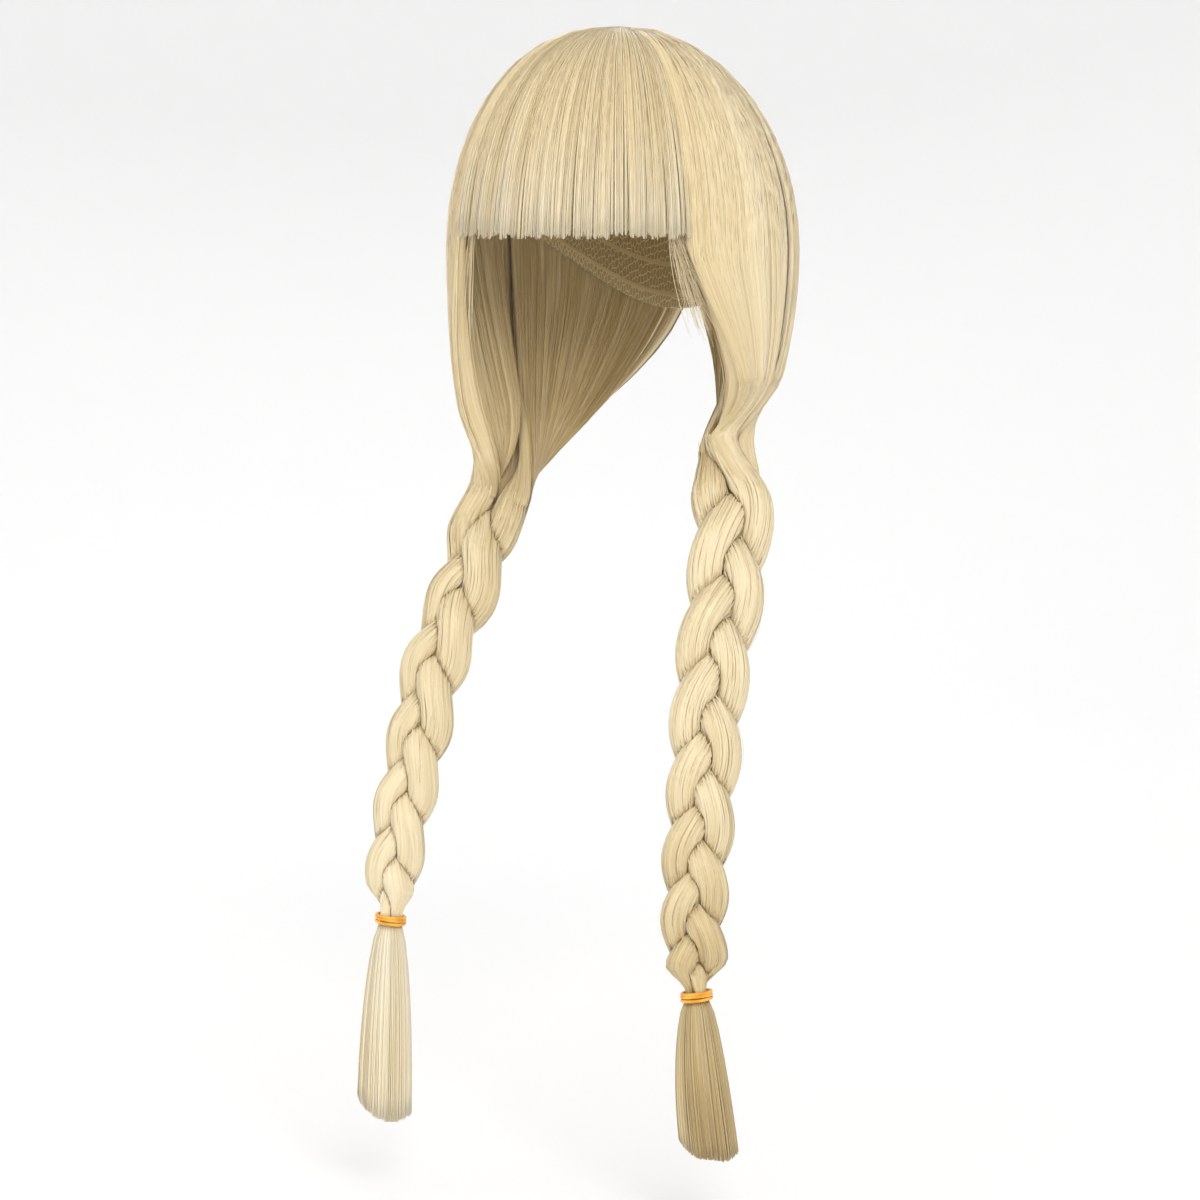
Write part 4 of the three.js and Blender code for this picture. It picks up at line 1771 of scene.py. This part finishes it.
@dataclass
class NetCap:
    """The cap: a thin net dome, its rim high over the brow and lowest at the nape.

    Attributes:
        wall: Its thickness.
        rim_front: From the top of the head down to the rim, over the brow.
        rim_ear: The same at the ears.
        rim_nape: The same at the nape.
        nape_tuck: How far the back leans in below the head's widest level.
        columns: How many columns of faces it has.
        rows: How many rows.
    """

    wall: float = 1.5
    rim_front: float = 52.0
    rim_ear: float = 97.0
    rim_nape: float = 148.0
    nape_tuck: float = 16.0
    columns: int = 96
    rows: int = 28

    def place(self, turn: Array, share: Array, offset: float) -> Array:
        """Points of the cap.

        Args:
            turn: Radians from the nose, towards the wearer's left.
            share: 0 at the top and 1 at the rim.
            offset: How far out from the head.

        Returns:
            One point for each turn and share.
        """
        forward = np.cos(turn)
        low = np.where(forward > 0, self.rim_front, self.rim_nape)
        rim = lerp(self.rim_ear, low, forward**2)
        down = rim * (1 - np.cos(share * math.pi / 2))
        dome = np.minimum(down / HEAD_HEIGHT, 1)
        lean = self.nape_tuck * np.maximum(down - HEAD_HEIGHT, 0) / (self.rim_nape - HEAD_HEIGHT)
        swell = np.sqrt(1 - (1 - dome) ** 2)
        length = np.where(forward > 0, HEAD_FRONT, HEAD_BACK - lean)
        level = (HEAD_HEIGHT + offset) * (1 - dome) - HEAD_HEIGHT
        return np.stack(
            [
                swell * (HEAD_HALF_WIDTH + offset) * np.sin(turn),
                -swell * (length + offset) * np.cos(turn),
                np.where(down < HEAD_HEIGHT, level, -down),
            ],
            -1,
        )

    def shell(self, name: str) -> bpy.types.Object:
        """Makes the cap as a closed shell.

        Args:
            name: The piece's name.

        Returns:
            The new object, with a UV map in metres out from its top.
        """
        body = bmesh.new()
        bmesh.ops.create_uvsphere(
            body, u_segments=self.columns, v_segments=2 * self.rows, radius=1
        )
        low = [v for v in body.verts if v.co.z < -1e-4]
        bmesh.ops.delete(body, geom=low, context="VERTS")
        given = np.array([v.co for v in body.verts])
        turn = np.arctan2(given[:, 0], -given[:, 1])
        share = np.arccos(np.clip(given[:, 2], -1, 1)) / (math.pi / 2)
        spots = self.place(turn, share, self.wall)
        layer = body.loops.layers.uv.new(FIBRE_UV)
        body.verts.index_update()
        for vertex, spot in zip(body.verts, spots * MM):
            vertex.co = spot
        for face in body.faces:
            face.smooth = True
            turns = past_seam([turn[loop.vert.index] for loop in face.loops], FULL_TURN, 0)
            for loop, value in zip(face.loops, turns):
                radius = share[loop.vert.index] * self.rim_nape * MM
                loop[layer].uv = (radius * math.cos(value), radius * math.sin(value))
        bmesh.ops.recalc_face_normals(body, faces=body.faces)
        made = add_object(name, close_body(name, body))
        solid = made.modifiers.new("wall", "SOLIDIFY")
        solid.thickness = self.wall * MM
        solid.offset = -1
        solid.use_even_offset = True
        return made

    def build(self, finish: bpy.types.Material) -> bpy.types.Object:
        """Makes and dresses the cap.

        Args:
            finish: The net's material.

        Returns:
            The cap.
        """
        cap = self.shell("cap_of_net")
        cap.data.materials.append(finish)
        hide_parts("net_cap")
        log.info("net cap built")
        return cap


@dataclass
class Band:
    """An elastic band: round elastic wrapped close together round the braid.

    Attributes:
        side: The side of the wig that it is on.
        cord: How thick the elastic is.
        wraps: How many times it goes round.
        inside: The radius of the band's hole.
        steps: How many faces lie along one wrap.
        sides: How many faces lie round the cord.
        overlap: How much thicker each wrap is made, so that it presses on the next.
        tilt: Degrees by which the whole band leans.
        leans: Degrees by which each wrap leans in it.
    """

    side: Side
    cord: float = 1.7
    wraps: int = 3
    inside: float = 7.2
    steps: int = 56
    sides: int = 12
    overlap: float = 1.04
    tilt: float = -4.0
    leans: tuple[float, ...] = (-2.5, 1.5, -1.0)

    @property
    def radius(self) -> float:
        """From the middle of the braid to the middle of the elastic."""
        return self.inside + self.cord / 2

    def add_wrap(self, body: bmesh.types.BMesh, wrap: int) -> None:
        """Spins one wrap of the elastic round the upright axis.

        Args:
            body: What it is added to.
            wrap: Which one, from 0 at the bottom.
        """
        level = (wrap + 0.5) * self.cord - self.cord * self.wraps / 2
        before = set(body.verts)
        thickness = self.cord / 2 * self.overlap
        ring = bmesh.ops.create_circle(body, segments=self.sides, radius=thickness)["verts"]
        upright = Matrix.Rotation(math.pi / 2, 3, "X")
        bmesh.ops.rotate(body, verts=ring, cent=(0, 0, 0), matrix=upright)
        bmesh.ops.translate(body, verts=ring, vec=(self.radius, 0, level))
        edges = list({edge for vertex in ring for edge in vertex.link_edges})
        bmesh.ops.spin(
            body,
            geom=ring + edges,
            cent=(0, 0, 0),
            axis=(0, 0, 1),
            angle=FULL_TURN,
            steps=self.steps,
            use_merge=True,
        )
        made = [v for v in body.verts if v not in before]
        lean = Matrix.Rotation(math.radians(self.leans[wrap % len(self.leans)]), 3, "X")
        tilt = Matrix.Rotation(math.radians(self.tilt), 3, "Y") @ lean
        bmesh.ops.rotate(body, verts=made, cent=(0, 0, level), matrix=tilt)

    def unwrap(self, body: bmesh.types.BMesh) -> None:
        """Gives the wraps a UV map in metres, along and across the elastic.

        Args:
            body: The wraps, still upright and in millimetres.
        """
        layer = body.loops.layers.uv.new(FIBRE_UV)
        for face in body.faces:
            face.smooth = True
            corners = [loop.vert.co for loop in face.loops]
            turns = past_seam([math.atan2(co.y, co.x) for co in corners], FULL_TURN, 0)
            for loop, co, turn in zip(face.loops, corners, turns):
                out = math.hypot(co.x, co.y) - self.radius
                loop[layer].uv = (turn * self.radius * MM, (co.z + out) * MM)

    def on_braid(self) -> Matrix:
        """Where the band sits.

        Returns:
            What takes the upright axis to the middle of the braid, and millimetres
            to metres.
        """
        distance = np.array(float(self.side.braid_length))
        middle, down, wide, face = self.side.frame_at(distance)
        mirror = np.array((self.side.hand, 1, 1))
        axes = np.stack([wide * mirror, face * mirror, -down * mirror], 1) * MM
        rows = [[*axes[k], (middle * mirror)[k] * MM] for k in range(3)]
        return Matrix([*rows, [0, 0, 0, 1]])

    def build(self, finish: bpy.types.Material) -> bpy.types.Object:
        """Makes and dresses the band.

        Args:
            finish: The elastic's material.

        Returns:
            The band.
        """
        name = f"wrapped_elastic_{self.side.name}"
        body = bmesh.new()
        for wrap in range(self.wraps):
            self.add_wrap(body, wrap)
        self.unwrap(body)
        bmesh.ops.transform(body, matrix=self.on_braid(), verts=body.verts)
        bmesh.ops.recalc_face_normals(body, faces=body.faces)
        band = add_object(name, close_body(name, body))
        band.data.materials.append(finish)
        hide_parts(f"elastic_band_{self.side.name}")
        log.info("%s built", name)
        return band


@dataclass
class Studio:
    """The camera, the lights and the paper that the wig is shown against, in metres.

    Attributes:
        azimuth: Degrees round from the face, towards the wearer's left.
        elevation: Degrees above the level.
        distance: From the camera to its target.
        target: The point that the camera looks at.
        lens: The focal length, in millimetres.
        sensor: The width of the picture behind it, in millimetres.
        floor: The level of the floor, under the longer braid.
        paper_radius: From the middle of the floor to the wall.
        paper_bend: The radius of the bend between them.
        paper_height: The height of the wall.
        paper_steps: How many faces lie down the bend.
        room: How bright the pale room is.
    """

    azimuth: float = 23.0
    elevation: float = 7.0
    distance: float = 1.9
    target: tuple[float, float, float] = (0.0044, -0.039, -0.3064)
    lens: float = 101.79
    sensor: float = 36.0
    floor: float = -0.645
    paper_radius: float = 3.2
    paper_bend: float = 1.4
    paper_height: float = 4.5
    paper_steps: int = 12
    room: float = 0.97

    def add_camera(self) -> None:
        """Places the camera at the photograph's angle."""
        a, e = math.radians(self.azimuth), math.radians(self.elevation)
        back = Vector((math.sin(a) * math.cos(e), -math.cos(a) * math.cos(e), math.sin(e)))
        data = bpy.data.cameras.new("camera")
        data.lens = self.lens
        data.sensor_width = self.sensor
        data.clip_start, data.clip_end = 0.05, 50
        camera = bpy.data.objects.new("camera", data)
        camera.location = Vector(self.target) + back * self.distance
        camera.rotation_mode = "QUATERNION"
        camera.rotation_quaternion = (-back).to_track_quat("-Z", "Y")
        bpy.context.scene.collection.objects.link(camera)
        bpy.context.scene.camera = camera

    def add_paper(self, finish: bpy.types.Material) -> None:
        """Adds a pale floor that curves up into a wall on every side.

        Args:
            finish: The paper's material.
        """
        body = bmesh.new()
        bend = self.paper_bend
        corner = self.paper_radius - bend
        profile = [(0, 0), (corner, 0)]
        for step in range(1, self.paper_steps + 1):
            lean = step / self.paper_steps * math.pi / 2
            profile.append((corner + bend * math.sin(lean), bend - bend * math.cos(lean)))
        profile.append((self.paper_radius, self.paper_height))
        points = [body.verts.new((out, 0, self.floor + up)) for out, up in profile]
        edges = [body.edges.new(pair) for pair in zip(points, points[1:])]
        bmesh.ops.spin(
            body,
            geom=points + edges,
            cent=(0, 0, 0),
            axis=(0, 0, 1),
            angle=FULL_TURN,
            steps=72,
            use_merge=True,
        )
        bmesh.ops.remove_doubles(body, verts=body.verts, dist=1e-5)
        bmesh.ops.recalc_face_normals(body, faces=body.faces)
        bmesh.ops.reverse_faces(body, faces=body.faces)
        for face in body.faces:
            face.smooth = True
        paper = bpy.data.objects.new("paper", close_body("paper", body))
        bpy.context.scene.collection.objects.link(paper)
        paper.data.materials.append(finish)

    def add_light(
        self,
        name: str,
        place: tuple[float, float, float],
        size: float,
        power: float,
        colour: str,
    ) -> None:
        """Adds a soft square light that faces the wig.

        Args:
            name: What the light is called.
            place: Where it stands.
            size: The length of its side.
            power: In watts.
            colour: An sRGB hex colour.
        """
        data = bpy.data.lights.new(name, "AREA")
        data.size = size
        data.energy = power
        data.color = linear(colour)[:3]
        light = bpy.data.objects.new(name, data)
        light.location = place
        aim = Vector(self.target) - Vector(place)
        light.rotation_euler = aim.to_track_quat("-Z", "Y").to_euler()
        bpy.context.scene.collection.objects.link(light)

    def add_lights(self) -> None:
        """Adds a large key light, a fill and a rim light in a pale room."""
        world = bpy.data.worlds.new("room")
        world.use_nodes = True
        sky = world.node_tree.nodes["Background"]
        sky.inputs["Color"].default_value = linear("#FFFFFF")
        sky.inputs["Strength"].default_value = self.room
        bpy.context.scene.world = world
        self.add_light("key", (1.3, -1.9, 1.3), 1.2, 27, "#FFFCF8")
        self.add_light("fill", (-1.8, -1.6, 0.5), 1.5, 9, "#FBFCFF")
        self.add_light("rim", (-1.0, 1.9, 1.2), 1.0, 10, "#FFFFFF")


@dataclass(frozen=True)
class Shades:
    """How light the hair of one side is painted, from 0 at its deepest to 1 at its lightest; its
    tones differ from the other side's only as painted light and shade.

    Attributes:
        front: The front section.
        front_painted_shade: How much deeper it is painted at its front edge, as painted shade
            beside the face.
        braid: The braid, down to where it nears its band.
        low: The brush end, painted shade on the left and painted light on the right.
        wisps: How many fine hairs hang at the temple.
    """

    front: float
    front_painted_shade: float
    braid: float
    low: float
    wisps: int


# Painted light and shade: the sides' tones differ, most at the brush ends, deep on the left and
# pale on the right.
SHADES = {
    "left": Shades(front=0.63, front_painted_shade=0.15, braid=0.64, low=0.27, wisps=110),
    "right": Shades(front=0.49, front_painted_shade=0.0, braid=0.57, low=0.8, wisps=40),
}
BACK_TONE = 0.58
# The nape's deeper tone is painted shade on the inner hair by the neck.
NAPE_PAINTED_SHADE_TONE = 0.46


def hair_pieces() -> list[Tress]:
    """Lists every body of hair.

    Returns:
        The bodies, in the order that they are built.
    """
    pieces: list[Tress] = [
        Fringe(
            "fringe",
            hand=1,
            seed=11,
            count=1650,
            points=13,
            width=(0.4, 0.95),
            # painted shade: the fringe's tone is set deep to darken the crown
            tone=0.51,
            core_size=(64, 26),
        )
    ]
    for side in SIDES:
        seed = 100 if side.hand > 0 else 200
        shades = SHADES[side.name]
        common = {"hand": side.hand, "side": side}
        pieces += [
            LooseSection(
                f"hair_{side.name}_front",
                seed=seed + 1,
                count=860,
                points=23,
                tone=shades.front,
                strand=Strand.FRONT,
                wisp_count=shades.wisps,
                bridge_count=190,
                front_painted_shade=shades.front_painted_shade,
                sweep=26,
                edge=0.5,
                locks=3,
                **common,
            ),
            LooseSection(
                f"hair_{side.name}_back",
                seed=seed + 2,
                count=1150,
                points=23,
                tone=BACK_TONE,
                strand=Strand.BACK,
                angles=(98, 180),
                shares=(0.0, 0.62),
                locks=4,
                outside_share=0.86,
                core_size=(48, 64),
                **common,
            ),
            LooseSection(
                f"hair_{side.name}_nape",
                seed=seed + 3,
                count=480,
                points=15,
                tone=NAPE_PAINTED_SHADE_TONE,
                strand=Strand.NAPE,
                angles=(104, 178),
                start=0.72,
                shares=(0.66, 1.0),
                edge=0.8,
                locks=2,
                outside_share=0.5,
                core_size=(40, 40),
                **common,
            ),
        ]
        root_tones = {
            Strand.FRONT: shades.front,
            Strand.BACK: BACK_TONE,
            Strand.NAPE: NAPE_PAINTED_SHADE_TONE,
        }
        for number, strand in enumerate(Strand):
            pieces.append(
                BraidStrand(
                    f"strand_{side.name}_{strand.value}",
                    seed=seed + 10 + number,
                    count=165,
                    points=58,
                    width=(0.55, 1.05),
                    tone=shades.braid,
                    root_tone=root_tones[strand],
                    # the braid's end takes the brush end's painted light and shade
                    end_light_and_shade=lerp(shades.braid, shades.low, 0.7),
                    strand=strand,
                    core_size=(28, 96),
                    **common,
                )
            )
        pieces.append(
            BrushEnd(
                f"brush_end_{side.name}",
                seed=seed + 20,
                count=720,
                points=10,
                width=(0.45, 1.0),
                # painted shade on the left brush end, painted light on the right
                tone=shades.low,
                core_size=(30, 16),
                **common,
            )
        )
    return pieces


def main() -> None:
    """Builds the room, the wig's pieces and their finishes."""
    logging.basicConfig(level=logging.INFO, format="%(name)s: %(message)s")
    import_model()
    bpy.context.scene.view_settings.view_transform = "Standard"  # keeps the hair's pale tones
    studio = Studio()
    studio.add_camera()
    studio.add_paper(MattPaper().make())
    studio.add_lights()
    hair = DrawnFibre("drawn_modacrylic_fibre", BLONDE).make()
    for piece in hair_pieces():
        piece.build(hair)
    NetCap().build(WarpKnitNet().make())
    elastic = CoveredElastic().make()
    for side in SIDES:
        Band(side).build(elastic)
    bpy.context.view_layer.update()


if __name__ == "__main__":
    main()
